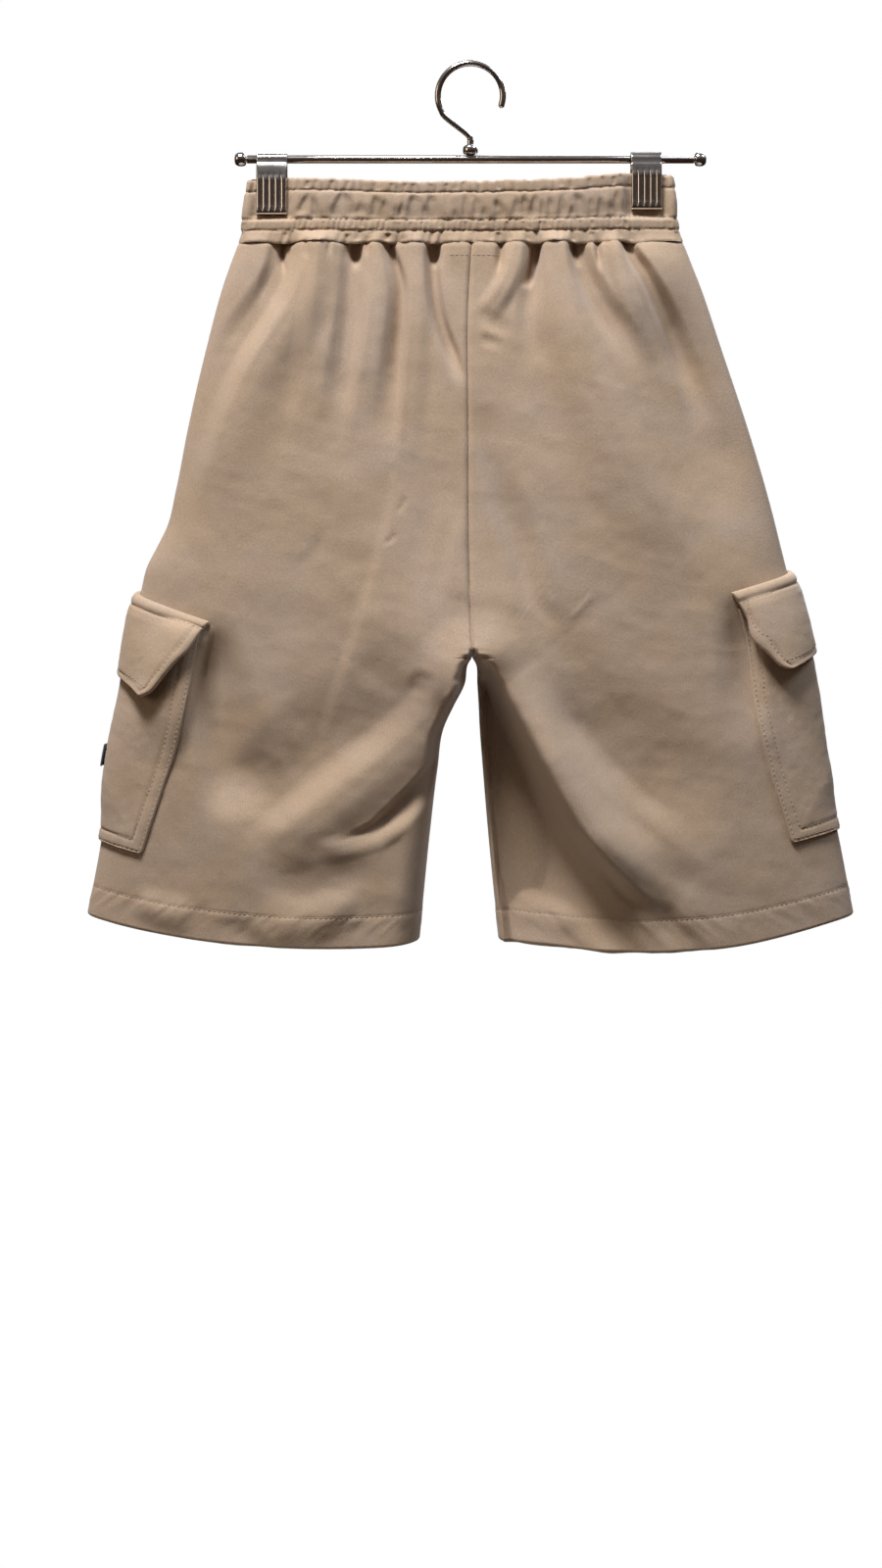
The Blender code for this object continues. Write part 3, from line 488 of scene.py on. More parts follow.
# ---------------------------------------------------------------- the form of the legs' cloth
def fold_height(x, down, fold):
    """How far one fold lifts the cloth at each point."""
    _, path, height, flat, left, right, (fade_in, fade_out) = fold
    lift = np.zeros(x.shape)
    reach = max(*left, *right) + max(flat)
    line = curve_through(path, 6 if reach < 40 else 16)
    near = (
        (x > line[:, 0].min() - reach) & (x < line[:, 0].max() + reach)
        & (down > line[:, 1].min() - reach) & (down < line[:, 1].max() + reach)
    )
    start, step = line[:-1], np.diff(line, axis=0)
    rx = x[near][:, None] - start[:, 0]
    rd = down[near][:, None] - start[:, 1]
    t = np.clip((rx * step[:, 0] + rd * step[:, 1]) / (step**2).sum(axis=1), 0, 1)
    rx = rx - t * step[:, 0]
    rd = rd - t * step[:, 1]
    far = np.hypot(rx, rd)
    closest = np.argmin(far, axis=1)
    pick = np.arange(len(far)), closest
    length = np.hypot(step[:, 0], step[:, 1])
    reached = running(length)
    along = (reached[closest] + t[pick] * length[closest]) / reached[-1]
    on_left = (rx * step[:, 1] - rd * step[:, 0])[pick] < 0
    flank = np.where(on_left, mix(*left, along), mix(*right, along))
    shape = 1 - ease((far[pick] - mix(*flat, along)) / flank)
    lift[near] = height * shape * ease(along / fade_in) * ease((1 - along) / fade_out)
    return lift


def total_height(folds, x, down):
    return sum(fold_height(x, down, fold) for fold in folds)


def relief(face, x, down):
    """All of a face's folds, with slight unevenness between them."""
    total = total_height(FOLDS[face], x, down)
    own = ease((x + 1.5) / 3)
    on_left, on_right = LEG_FOLDS[face]
    total += total_height(on_left, x, down) * (1 - own)
    total += total_height(on_right, x, down) * own
    seed = 11 if face == "back" else 47
    calm = ease((down - 45) / 60)
    total += 0.5 * calm * soft_noise(x + 0.4 * down, down, 38, seed)
    total += 0.35 * soft_noise(x, down - 0.3 * x, 15, seed + 1)
    total -= 0.16 * calm * np.abs(soft_noise(0.35 * x + 0.5 * down, 1.2 * down - 0.35 * x, 13, seed + 3))
    total += 0.10 * soft_noise(x, down, 6, seed + 2)
    return total


def seam_wave(face, x):
    """How far the waist seam drops at a recess between two bulges, or rises over a bulge."""
    reach = np.arange(-150.0, 151.0, 2.0)
    swell = total_height(FOLDS[face], reach, np.full(reach.shape, 50.0))
    wave = np.clip(-0.2 * swell, -1.0, 0.7)
    for _ in range(2):
        wave = np.convolve(wave, (0.25, 0.5, 0.25), "same")
    return np.interp(x, reach, wave)


def leg_point(side, face, w, v):
    """x, down and out of a leg's cloth: w is 0 at the inner edge and 1 at the side seam."""
    inner_x = smooth_read(v, INNER["share"], INNER[side])
    inner_down = np.interp(v, INNER["share"], INNER["down"])
    edge_out = smooth_read(v, INNER["share"], INNER[face]) * (v < CROTCH_SHARE)
    outer = OUTER[side]
    outer_down = mix(outer["down"][0], outer["down"][-1], v)
    outer_x = smooth_read(outer_down, outer["down"], outer["x"])
    x = mix(inner_x, outer_x, w)
    down = mix(inner_down, outer_down, w) + HEM_SAG * v * 4 * w * (1 - w)
    if side == "right":
        down = down + RIGHT_DROOP * v**6 * ease(w / DROOP_PEAK) * ease((1 - w) / (1 - DROOP_PEAK))

    depth, square, reach = (smooth_read(v, FORM["share"], FORM[name]) for name in (face, "square", side))
    side_form = (1 - np.clip(w, 0, 1) ** square) ** (1 / square)
    q = np.clip(w * np.abs(outer_x - inner_x) / reach, 0, 1)
    above = np.clip((CROTCH_SHARE - v) / CROTCH_BLEND, 0, 1)
    inner_form = mix(rounded(q, INNER_SQUARE), ease(q), above)
    out = side_form * mix(edge_out, depth, inner_form)

    down = down + seam_wave(face, x) * (1 - ease((down - SEAM_DOWN) / 16))
    free = 1 - w**14
    free = free * mix(1, ease(q * 3), ease((v - CROTCH_SHARE + CROTCH_TURN) / CROTCH_TURN))
    lift = np.maximum(relief(face, x, down) * free, -0.85 * out)
    return x, down, out + lift


def panel_rows():
    """Shares down of a panel's rows, with close ones at the crotch and at the hem's stitching."""
    rows = np.arange(0, HEM_DROP, PANEL_STEP["back"]) / HEM_DROP
    crotch = CROTCH_SHARE + np.array([-6, -4.5, -3, -2, -1, -0.4, 0.4, 1, 2, 3.5]) / HEM_DROP
    hem = 1 - (HEM_HEIGHT + np.array([-1.2, -0.6, 0, 0.6, 1.2])) / HEM_DROP
    return np.unique(np.round(np.concatenate((rows, crotch, hem, [1.0])), 6))


CROWDING = 0.12  # share of the way over which columns crowd towards the crotch
CROWD_REACH = 14  # how far from the inner edge
CROWD_DEPTH = 33  # a leg's half depth just below the crotch, which they make room for


def leg_half(side, face, rows, columns):
    """One panel's outer surface: x, down, out and the distance from the side seam on a grid."""
    w = (1 + np.cos(np.linspace(0, math.pi, 2 * columns))) / 2
    vv, ww = np.meshgrid(rows, w, indexing="ij")
    x, down, out = leg_point(side, face, ww, vv)
    steps = np.sqrt(np.diff(x, axis=1) ** 2 + np.diff(out, axis=1) ** 2 + 0.2 * np.diff(down, axis=1) ** 2)
    # above the crotch the columns crowd towards it little by little, as a leg's inner side needs them
    crowded = ease((vv - CROTCH_SHARE) / CROWDING + 1) * (vv < CROTCH_SHARE)
    q = np.clip(np.abs(x - x[:, -1:]) / CROWD_REACH, 0, 1)
    turn = CROWD_DEPTH * crowded * (1 - rounded(q, INNER_SQUARE))
    spread = running(np.hypot(steps, np.diff(turn, axis=1)), axis=1)
    share = np.linspace(0, 1, columns)
    fields = []
    for field in (x, down, out, running(steps, axis=1)):
        fields.append(np.array([np.interp(share * r[-1], r, f) for r, f in zip(spread, field)]))
    return fields


def grid_normals(points, outward):
    """Unit normals of a grid of points, turned to the side of the given direction."""
    normal = unit(np.cross(np.gradient(points, axis=1), np.gradient(points, axis=0)))
    turn = np.sign((normal * outward).sum(axis=-1, keepdims=True))
    turn[turn == 0] = 1
    return normal * turn


def seam_relief(rows, x, reached, side, face):
    """The dip of a panel towards its seams, its hem's fold and the stitching across it."""
    from_inner = reached[:, -1:] - reached
    down = rows[:, None] * HEM_DROP
    above_hem = HEM_DROP - HEM_HEIGHT - down
    centre = np.where(rows < CROTCH_SHARE, 1.7, 0.9)[:, None]
    lift = -0.9 * dent(reached, 1.1) - centre * dent(from_inner, 1.1)
    lift = lift - 0.6 * dent(down, 1.0) - 0.2 * dent(above_hem, 0.9)
    lift = lift + 0.15 * ease(-above_hem / 3.0)
    # the stitching pulls the cloth into short slanting creases
    along = reached * (1 if face == "back" else -1)
    pull = soft_noise(along + 0.9 * down + (300 if side == "left" else 0), down * 0.5, 3.4, 5)
    lift = lift + 0.3 * pull * dent(above_hem + 4, 7.0)
    if side == "right" and face == "back":
        below = ease((rows[:, None] - INSEAM_FROM) / 0.06) * ease((x - x[:, -1:] - 1.0) / 2.0)
        lift = lift - 0.6 * below * dent(x - INSEAM_X, 0.8)
    return lift


# ---------------------------------------------------------------- meshes
def new_object(name, data):
    obj = bpy.data.objects.new(name, data)
    bpy.context.scene.collection.objects.link(obj)
    return obj


def mesh_object(name, vertices, faces, material, uv=None, sharp=50):
    """A smooth piece on the garment's body; uv is each vertex's place on the flat cloth."""
    mesh = bpy.data.meshes.new(name)
    mesh.from_pydata(vertices.tolist(), [], faces)
    if uv is not None:
        corners = np.empty(len(mesh.loops), dtype=np.int64)
        mesh.loops.foreach_get("vertex_index", corners)
        layer = mesh.uv_layers.new(name="cloth_mm")
        layer.data.foreach_set("uv", uv[corners].astype(np.float32).ravel())
    mesh.shade_smooth()
    mesh.set_sharp_from_angle(angle=math.radians(sharp))
    mesh.materials.append(material)
    obj = new_object(name, mesh)
    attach(obj, "root")
    return obj


def kept(count):
    """Indices of the points that the plainer inner side of a shell keeps."""
    return np.unique(np.append(np.arange(0, count, INNER_EVERY), count - 1))


def grid_faces(index):
    a, b, c, d = index[:-1, :-1], index[:-1, 1:], index[1:, 1:], index[1:, :-1]
    return np.stack([a, b, c, d], axis=-1).reshape(-1, 4).tolist()


def rim_faces(top, low, at, turn):
    """Faces from an edge of the outer side to the same edge of the inner one, which has fewer points."""
    faces = []
    for k in range(len(at) - 1):
        run = top[at[k] : at[k + 1] + 1].tolist()
        face = run[::-1] + [int(low[k]), int(low[k + 1])]
        faces.append(face[::turn])
    return faces


def shell(node, outer, inner, uv, material, closed=False, slot="cloth"):
    """A thin closed mesh between two grids of points, in a node's place.

    closed joins the last column to the first.
    """
    rows, columns = outer.shape[:2]
    index = np.arange(rows * columns).reshape(rows, columns)
    keep_rows = kept(rows)
    keep_columns = np.arange(0, columns, INNER_EVERY) if closed else kept(columns)
    inside = inner[np.ix_(keep_rows, keep_columns)]
    under = np.arange(inside.shape[0] * inside.shape[1]).reshape(inside.shape[:2]) + index.size
    vertices = np.concatenate((outer.reshape(-1, 3), inside.reshape(-1, 3)))
    flat = np.concatenate((uv.reshape(-1, 2), uv[np.ix_(keep_rows, keep_columns)].reshape(-1, 2)))
    if closed:
        index = np.concatenate((index, index[:, :1]), axis=1)
        under = np.concatenate((under, under[:, :1]), axis=1)
        keep_columns = np.append(keep_columns, columns)
    faces = grid_faces(index) + [face[::-1] for face in grid_faces(under)]
    faces += rim_faces(index[0], under[0], keep_columns, 1)
    faces += rim_faces(index[-1], under[-1], keep_columns, -1)
    if not closed:
        faces += rim_faces(index[:, 0], under[:, 0], keep_rows, -1)
        faces += rim_faces(index[:, -1], under[:, -1], keep_rows, 1)
    first = vertices[faces[0]]
    normal = np.cross(first[1] - first[0], first[3] - first[0])
    if np.dot(normal, outer[0, 0] - inner[0, 0]) < 0:
        faces = [face[::-1] for face in faces]
    finish = "metal" if slot == "hanger_metal" else "cloth"
    piece = mesh_object(f"{node}_{finish}", vertices, faces, material, flat)
    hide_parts(node)
    return piece


# ---------------------------------------------------------------- front and back panels
TUCKED_UP = 1.6  # a panel's top edge goes up behind the waistband


def build_panel(side, face, material):
    """A leg's back or front panel, with its hem turned up inside, and its surface for what lies on it."""
    rows = panel_rows()
    x, down, out, reached = leg_half(side, face, rows, int(LEG_SPAN / PANEL_STEP[face]))
    outward = -1.0 if face == "back" else 1.0
    smooth = to_world(x, down, out, face)
    away = np.stack(np.broadcast_arrays(sign_of(side) * dent(reached, 6.0), outward, 0.0), axis=-1)
    normals = grid_normals(smooth, away)
    points = smooth + normals * (seam_relief(rows, x, reached, side, face) * MM)[..., None]

    turned_up = ease((rows * HEM_DROP - (HEM_DROP - HEM_HEIGHT)) / 1.5)
    thickness = (CLOTH * (1 + turned_up))[:, None, None] * MM
    inside = smooth - normals * (thickness + SEAM_GAP * MM)
    above = rows < CROTCH_SHARE
    for edge in (points, inside):
        edge[above, -1, 0] = smooth[above, -1, 0]
        edge[~above, -1, 1] = 0
        edge[0] += np.array((0.0, 0.0, TUCKED_UP * MM)) - normals[1] * TUCKED_UP * 0.5 * MM
    points, inside = rounded_hem(points, inside)
    uv = np.stack([reached, down], axis=-1)
    uv = np.concatenate((uv, np.repeat(uv[-1:], len(points) - len(uv), axis=0)))
    panel = shell(f"{face}_{side}", points, inside, uv, material)
    return dict(rows=rows, reached=reached, points=points[: len(rows)], normals=normals)


def rounded_hem(points, inside):
    """Adds rows that turn the bottom of the cloth round into its inner side."""
    middle = (points[-1] + inside[-1]) / 2
    arm = points[-1] - middle
    radius = np.linalg.norm(arm, axis=-1, keepdims=True)
    drop = np.array((0.0, 0.0, -1.0)) * radius
    outer, inner = [points], [inside]
    for angle in np.radians((25, 50, 72)):
        outer.append((middle + arm * math.cos(angle) + drop * math.sin(angle))[None])
        inner.append((middle - arm * math.cos(angle) + drop * math.sin(angle))[None])
    return np.concatenate(outer), np.concatenate(inner)


# ---------------------------------------------------------------- pockets, flaps and label
def leg_sheet(back, front):
    """The cloth round a side seam on an even grid: shares down, distances and points."""
    distances = np.arange(-SHEET_REACH, SHEET_REACH + 0.5, 1.0)
    shares = np.arange(*SHEET_ENDS, 0.003)
    faces = []
    for surface, along in ((front, -distances), (back, distances)):
        by_row = np.array([points_at(along, *row) for row in zip(surface["reached"], surface["points"])])
        place = np.interp(shares, surface["rows"], np.arange(len(surface["rows"])))
        low = np.floor(place).astype(int)
        faces.append(mix(by_row[low], by_row[low + 1], (place - low)[:, None, None]))
    points = np.where((distances < 0)[None, :, None], faces[0], faces[1])
    for _ in range(6):
        points[:, 1:-1] = (points[:, :-2] + 2 * points[:, 1:-1] + points[:, 2:]) / 4
        points[1:-1] = (points[:-2] + 2 * points[1:-1] + points[2:]) / 4
    return shares, distances, points


def on_sheet(sheet, distance, share):
    """Points of the sheet at distances round and shares down."""
    shares, distances, points = sheet
    i = np.interp(share, shares, np.arange(len(shares)))
    j = np.interp(distance, distances, np.arange(len(distances)))
    i0 = np.clip(np.floor(i).astype(int), 0, len(shares) - 2)
    j0 = np.clip(np.floor(j).astype(int), 0, len(distances) - 2)
    fi, fj = (i - i0)[..., None], (j - j0)[..., None]
    upper = mix(points[i0, j0], points[i0, j0 + 1], fj)
    lower = mix(points[i0 + 1, j0], points[i0 + 1, j0 + 1], fj)
    return mix(upper, lower, fi)


def patch_plan(rear, front, top, bottom, corner, across, t):
    """Distances round and shares down of a laid-on piece, at shares across and down it."""
    at_rear = smooth_read(t, EDGE_SHARES, np.array(rear, float))
    at_front = smooth_read(t, EDGE_SHARES, np.array(front, float))
    above_end = (1 - t) * (bottom[1] - top[1]) * HEM_DROP
    inset = corner * (1 - rounded_edge(above_end, corner))
    at_rear = at_rear - inset
    at_front = at_front + inset
    distance = mix(at_rear, at_front, across)
    to_rear = np.where(distance > 0, distance / np.maximum(at_rear, 1), 0)
    to_front = np.where(distance < 0, distance / np.minimum(at_front, -1), 0)
    upper, lower = (
        end[1] + (end[0] - end[1]) * to_rear + (end[2] - end[1]) * to_front for end in (top, bottom)
    )
    return distance, mix(upper, lower, t)


def edge_distances(points):
    """Distance in millimetres from each edge of a grid: rear, front, top and bottom."""
    rear = running(np.linalg.norm(np.diff(points, axis=1), axis=-1) / MM, axis=1)
    top = running(np.linalg.norm(np.diff(points, axis=0), axis=-1) / MM, axis=0)
    return rear, rear[:, -1:] - rear, top, top[-1:] - top


def edge_crowded(count):
    """Shares from 0 to 1, with a few close ones at both ends."""
    inner = np.linspace(0, 1, count)
    close = np.array([0.0, 0.12, 0.3, 0.6]) * inner[1]
    return np.unique(np.concatenate((inner, close, 1 - close)))


def laid_on(node, side, sheet, plan, lift_of, material, size, slot="cloth"):
    """A piece laid over a leg; lift_of gives its top and under surface from its edge distances."""
    across, t = np.meshgrid(edge_crowded(size[0]), edge_crowded(size[1]), indexing="xy")
    distance, share = patch_plan(*plan, across, t)
    base = on_sheet(sheet, distance, share)
    wide = on_sheet(sheet, distance + 4, share) - on_sheet(sheet, distance - 4, share)
    tall = on_sheet(sheet, distance, share + 0.01) - on_sheet(sheet, distance, share - 0.01)
    normal = unit(np.cross(wide, tall)) * sign_of(side)
    edges = edge_distances(base)
    upper, under = lift_of(edges, distance)
    outer = base + normal * (upper * MM)[..., None]
    inner = base + normal * (under * MM)[..., None]
    uv = np.stack([distance, share * HEM_DROP], axis=-1)
    piece = shell(node, outer, inner, uv, material, slot=slot)
    return piece, dict(points=outer, normals=grid_normals(outer, normal), edges=edges)


def pocket_lift(edges, distance):
    """A pocket over its leg: a rounded edge, two stitched dips and a slightly full middle."""
    rear, front, top, bottom = edges
    e = np.minimum.reduce([rear, front, bottom])
    body = 0.5 + 1.8 * rounded_edge(np.minimum(e, top), 1.3)
    body = body - 0.5 * dent(e - POCKET_STITCH[0], 0.5) - 0.75 * dent(e - POCKET_STITCH[1], 0.6)
    body = body + 0.2 * ease((e - POCKET_STITCH[1]) / 4) + 2.2 * ease((e - 8) / 34)
    body = body + 0.5 * soft_noise(rear, top, 17, 91) * ease(e / 14) + 0.12 * soft_noise(rear, top, 4, 92)
    return body, np.full(e.shape, 0.25)


def flap_lift(edges, distance):
    """A flap over its pocket: it hangs out below its sewn strip, most of all at its rear."""
    rear, front, top, bottom = edges
    e = np.minimum.reduce([rear, front, bottom])
    hang = np.interp(top, FLAP_HANG["below"], FLAP_HANG["lift"])
    hang = hang + 3.4 * ease(distance / 30) * ease(top / 36)
    corner = 1.6 * dent(rear, 14) * dent(bottom, 14) + 1.6 * dent(front, 14) * dent(bottom, 14)
    hang = hang + corner * ease(top / 20)
    body = hang + FLAP_CLOTH * rounded_edge(np.minimum(e, top), 1.3)
    body = body - 0.6 * dent(e - FLAP_STITCH, 0.6) * ease((top - STRIP) / 2)
    body = body - 0.9 * dent(top - STRIP, 0.7)
    body = body + 0.35 * soft_noise(rear, top, 14, 77) * ease(e / 10) + 0.1 * soft_noise(rear, top, 4, 78)
    return body, hang


def label_lift(edges, distance):
    """The label on the pocket, nearly flat with rounded edges."""
    e = np.minimum.reduce(edges)
    body = LABEL_RISE + 0.8 * rounded_edge(e, 0.5) + 0.25 * soft_noise(edges[0], edges[2], 7, 13)
    return body, LABEL_RISE + 0 * e


def build_pocket(side, sheet, cloth, label_cloth):
    """A pocket, its flap and the label where it has one; gives the surfaces of the first two."""
    size = POCKETS[side]
    flap_bottom = tuple(share + FLAP_DROP for share in size["flap_top"])
    edges = {
        "pocket": (size["rear"], size["front"], size["top"], size["bottom"]),
        "flap": (size["flap_rear"], size["flap_front"], size["flap_top"], flap_bottom),
    }
    pieces, surfaces = {}, []
    for kind, lift_of in (("pocket", pocket_lift), ("flap", flap_lift)):
        plan = (*edges[kind], PATCH_CORNERS[kind])
        counts = [int(span / PATCH_STEP) for span in PATCH_SPANS[kind]]
        pieces[kind], surface = laid_on(f"{kind}_{side}", side, sheet, plan, lift_of, cloth, counts)
        surfaces.append(surface)
    if side == LABEL["side"]:
        top, bottom = LABEL["top"], LABEL["top"] + LABEL["height"]
        ends = [(edge,) * 3 for edge in (LABEL["near"], LABEL["far"], top, bottom)]
        plan = (*ends, PATCH_CORNERS["label"])
        laid_on("label", side, sheet, plan, label_lift, label_cloth, (30, 14), slot="label")
    return surfaces


# ---------------------------------------------------------------- waistband
def band_half_depth(x, down):
    """Half the waistband's depth, flattened where the clips hold it."""
    hold = sum(1 - ease((np.abs(x - at) - PINCH_FLAT) / PINCH_FADE) for at in CLIP_X.values())
    clip_share = 1 - ease((down - CLIP_BITE) / 5)
    return BAND_HALF_DEPTH + (PINCHED - BAND_HALF_DEPTH) * np.minimum(hold, 1) * clip_share


def band_plan(down):
    """One ring of the waistband: even points in plan from the centre back, and their distances round."""
    centre = INNER["left"][0]
    turn = np.linspace(0, math.pi / 2, 400)
    rings = []
    for face, side in (("back", "right"), ("front", "right"), ("front", "left"), ("back", "left")):
        outward = (face, side) in (("back", "right"), ("front", "left"))
        share = np.sin(turn if outward else turn[::-1])
        end = np.interp(down, BAND_ENDS["down"], BAND_ENDS[side])
        x = centre + sign_of(side) * abs(end - centre) * share
        y = (1 - share**BAND_SQUARE) ** (1 / BAND_SQUARE) * (-1 if face == "back" else 1)
        rings.append(np.stack([x, y * band_half_depth(x, down)], axis=1)[:-1])
    ring = np.concatenate(rings + [rings[0][:1]])
    reached = running(np.linalg.norm(np.diff(ring, axis=0), axis=1))
    even = np.linspace(0, reached[-1], int(BAND_LENGTH / BAND_STEP) + 1)[:-1]
    return points_at(even, reached, ring), np.where(even > reached[-1] / 2, even - reached[-1], even)


def share_down_row(down, row):
    """Share of the way down one of the waistband's rows."""
    top, bottom = BAND_ROWS["top"][row], BAND_ROWS["bottom"][row]
    return (down - top) / (bottom - top)


def ruffles(along, down, row, seed):
    """Irregular gathers across one row of the waistband."""
    rng = np.random.default_rng(seed)
    pitch = BAND_ROWS["pitch"][row]
    places = np.arange(-BAND_LENGTH / 2, BAND_LENGTH / 2, pitch)
    count = len(places)
    places = places + rng.uniform(*RUFFLES["shift"], count) * pitch
    depths = BAND_ROWS["depth"][row] * rng.uniform(*RUFFLES["depth"], count)
    widths = pitch * rng.uniform(*RUFFLES["width"], count)
    slants = rng.uniform(*RUFFLES["slant"], count)
    starts = rng.uniform(*RUFFLES["missing"], count) * (rng.random(count) < SHORT_AT_TOP)
    ends = 1 - rng.uniform(*RUFFLES["missing"], count) * (rng.random(count) < SHORT_AT_BOTTOM)
    u = share_down_row(down, row)
    middle = (BAND_ROWS["top"][row] + BAND_ROWS["bottom"][row]) / 2
    lift = np.zeros(np.broadcast_shapes(along.shape, down.shape))
    for place, depth, width, slant, start, end in zip(places, depths, widths, slants, starts, ends):
        shape = dent(along - place - slant * (down - middle), width)
        lift -= depth * shape * ease((u - start + 0.12) / 0.2) * ease((end - u + 0.12) / 0.2)
    return lift


def channel_folds(along, down):
    """The broad channel's listed folds on the back: pinched at one end, wider at the other."""
    u = share_down_row(down, CHANNEL)
    lift = np.zeros(np.broadcast_shapes(along.shape, down.shape))
    for top, bottom, depth, width, start, end in zip(*CHANNEL_FOLDS.values()):
        place = mix(top, bottom, u)
        width = width * mix(0.8, 1.7, np.clip((u - start) / 0.7, 0, 1))
        width = width * np.where(along > place, 1.7, 0.8)
        span = ease((u - start + 0.05) / 0.4) * ease((end - u + 0.1) / 0.3)
        lift -= depth * dent(along - place, width) * span
    return 2.0 * np.tanh(lift / 2.0)


def band_relief(along, down, slack):
    """How far the waistband's cloth stands out from its plan at each place along and down.

    slack is 1 where the lowest row gathers between two bulges of the legs, and least over a bulge.
    """
    lift = np.zeros(np.broadcast_shapes(along.shape, down.shape))
    calm = np.ones(along.shape)
    for at in CLIP_X.values():
        calm = calm * (1 - CLIP_CALM * dent(along - at, CALM_REACH))
    for row in range(len(BAND_ROWS["top"])):
        inside = (down >= BAND_ROWS["top"][row]) & (down < BAND_ROWS["bottom"][row])
        u = np.clip(share_down_row(down, row), 0, 1)
        pillow = BAND_ROWS["pillow"][row] * np.sqrt(np.sin(math.pi * np.clip(u, 0.02, 0.98)))
        gathers = ruffles(along, down, row, 31 + row)
        if row == CHANNEL:
            wide = ruffles(along, down, row, 90) * 3
            on_front = np.abs(along) > BAND_LENGTH / 4
            gathers = np.where(on_front, wide, channel_folds(along, down) + gathers * 0.5)
        if row == LOWEST:
            gathers = gathers * slack
        lift += np.where(inside, (pillow + gathers) * calm, 0)
    for line in STITCH_LINES:
        lift -= 0.5 * dent(down - line, 0.7)
    lift += 0.25 * soft_noise(along, down, 5, 8) * calm + 0.5 * soft_noise(along, down * 0.5, 22, 9)
    return lift


def build_waistband(material):
    """The waistband, which swells over the legs' bulges below its lowest stitching."""
    levels = np.concatenate((np.arange(0, SEAM_DOWN - 0.6, BAND_STEP), [SEAM_DOWN - 0.15]))
    rings = [band_plan(down) for down in levels]
    plans = np.array([plan for plan, _ in rings])
    along = rings[0][1][None, :]
    down = levels[:, None]
    tangent = unit(np.roll(plans, -1, axis=1) - np.roll(plans, 1, axis=1))
    normal = np.stack([tangent[..., 1], -tangent[..., 0]], axis=-1)
    near_seam = ease((down - 28) / 12)
    below = np.clip((down - STITCH_LINES[-1]) / 7, 0, 1)
    swell = np.zeros(plans.shape[:2])
    wave = np.zeros(plans.shape[:2])
    for face, chosen in (("back", plans[0, :, 1] < 0), ("front", plans[0, :, 1] >= 0)):
        x = plans[:, chosen, 0]
        wave[:, chosen] = seam_wave(face, x)
        fold = relief(face, x, down + wave[:, chosen] * near_seam)
        swell[:, chosen] = np.where(fold > 0, 1.2 * fold, -0.12 * fold) * below
    for _ in range(8):
        swell = (np.roll(swell, 1, axis=1) + 2 * swell + np.roll(swell, -1, axis=1)) / 4
    swell = swell * np.minimum(1, np.abs(plans[..., 1]) / 6)
    slack = np.clip((wave + 0.7) / 1.2, LEAST_SLACK, 1)
    lift = band_relief(along, down, slack) + swell
    lift = lift - 1.1 * (1 - rounded_edge(down, 1.6)) - 0.6 * dent(SEAM_DOWN - down, 0.9)
    plan = plans + normal * lift[..., None]
    top = smooth_read(plans[..., 0], BAND_TOP["x"], BAND_TOP["down"])
    top = top + 0.5 * soft_noise(along, 0 * along, 4.5, 3) + 0.3 * soft_noise(along, 0 * along, 1.9, 4)
    drop = down + top * (1 - down / SEAM_DOWN) + wave * near_seam
    thickness = np.minimum(BAND_CLOTH + lift, np.abs(plan[..., 1]) - 0.4)
    thickness = np.where(np.abs(plans[..., 1]) < 3.2, BAND_CLOTH, np.maximum(thickness, 1.2))
    inner_plan = plan - normal * thickness[..., None]
    outer = to_world(plan[..., 0], drop, plan[..., 1])
    inner = to_world(inner_plan[..., 0], drop, inner_plan[..., 1])
    uv = np.stack(np.broadcast_arrays(along, down), axis=-1)
    band = shell("waistband", outer, inner, uv, material, closed=True)
    normals = np.concatenate((normal, np.zeros(normal.shape[:2] + (1,))), axis=-1)
    return dict(points=outer, normals=normals, levels=levels)


# ---------------------------------------------------------------- stitching
STITCH_PITCH = 3.1
STITCH_LENGTH = 2.3
STITCH_WIDTH = 0.34
STITCH_RISE = 0.3
STITCH = table(
    # one stitch: shares of its length, rise and half-width
    "at rise width", (-0.5, -0.5, 0.35), (-0.36, 0.45, 0.9), (0.0, 1.0, 1.0), (0.36, 0.45, 0.9),
    (0.5, -0.5, 0.35),
)


def stitch_run(line, normals):
    """Vertices and faces of the stitches along a line on the cloth."""
    reached = running(np.linalg.norm(np.diff(line, axis=0), axis=1)) / MM
    centres = np.arange(STITCH_PITCH / 2, reached[-1] - STITCH_PITCH / 2, STITCH_PITCH)
    at = centres[:, None] + STITCH["at"] * STITCH_LENGTH
    spot = points_at(at, reached, line)
    up = unit(points_at(at, reached, normals))
    beside = unit(np.cross(unit(spot[:, -1:] - spot[:, :1]), up))
    width = STITCH["width"][None, :, None] * STITCH_WIDTH * MM
    crown = spot + up * (STITCH["rise"] * STITCH_RISE * MM)[None, :, None]
    foot = up * 0.45 * STITCH_RISE * MM
    half = beside * width
    verts = np.stack([crown - half - foot, crown + foot * 0.6, crown + half - foot], axis=2)
    cells = [(3 * s + k, 3 * s + k + 1, 3 * s + k + 4, 3 * s + k + 3) for s in range(4) for k in range(2)]
    faces = (np.arange(len(centres))[:, None, None] * 15 + np.array(cells)[None]).reshape(-1, 4)
    return verts.reshape(-1, 3), faces


def stitches(name, runs, material):
    """One object for many runs of stitching."""
    vertices, faces, total = [], [], 0
    for line, normals in runs:
        verts, quads = stitch_run(line, normals)
        vertices.append(verts)
        faces.append(quads + total)
        total += len(verts)
    vertices = np.concatenate(vertices)
    faces = np.concatenate(faces).tolist()
    mesh_object(name, vertices, faces, material, np.zeros((total, 2)), sharp=180)


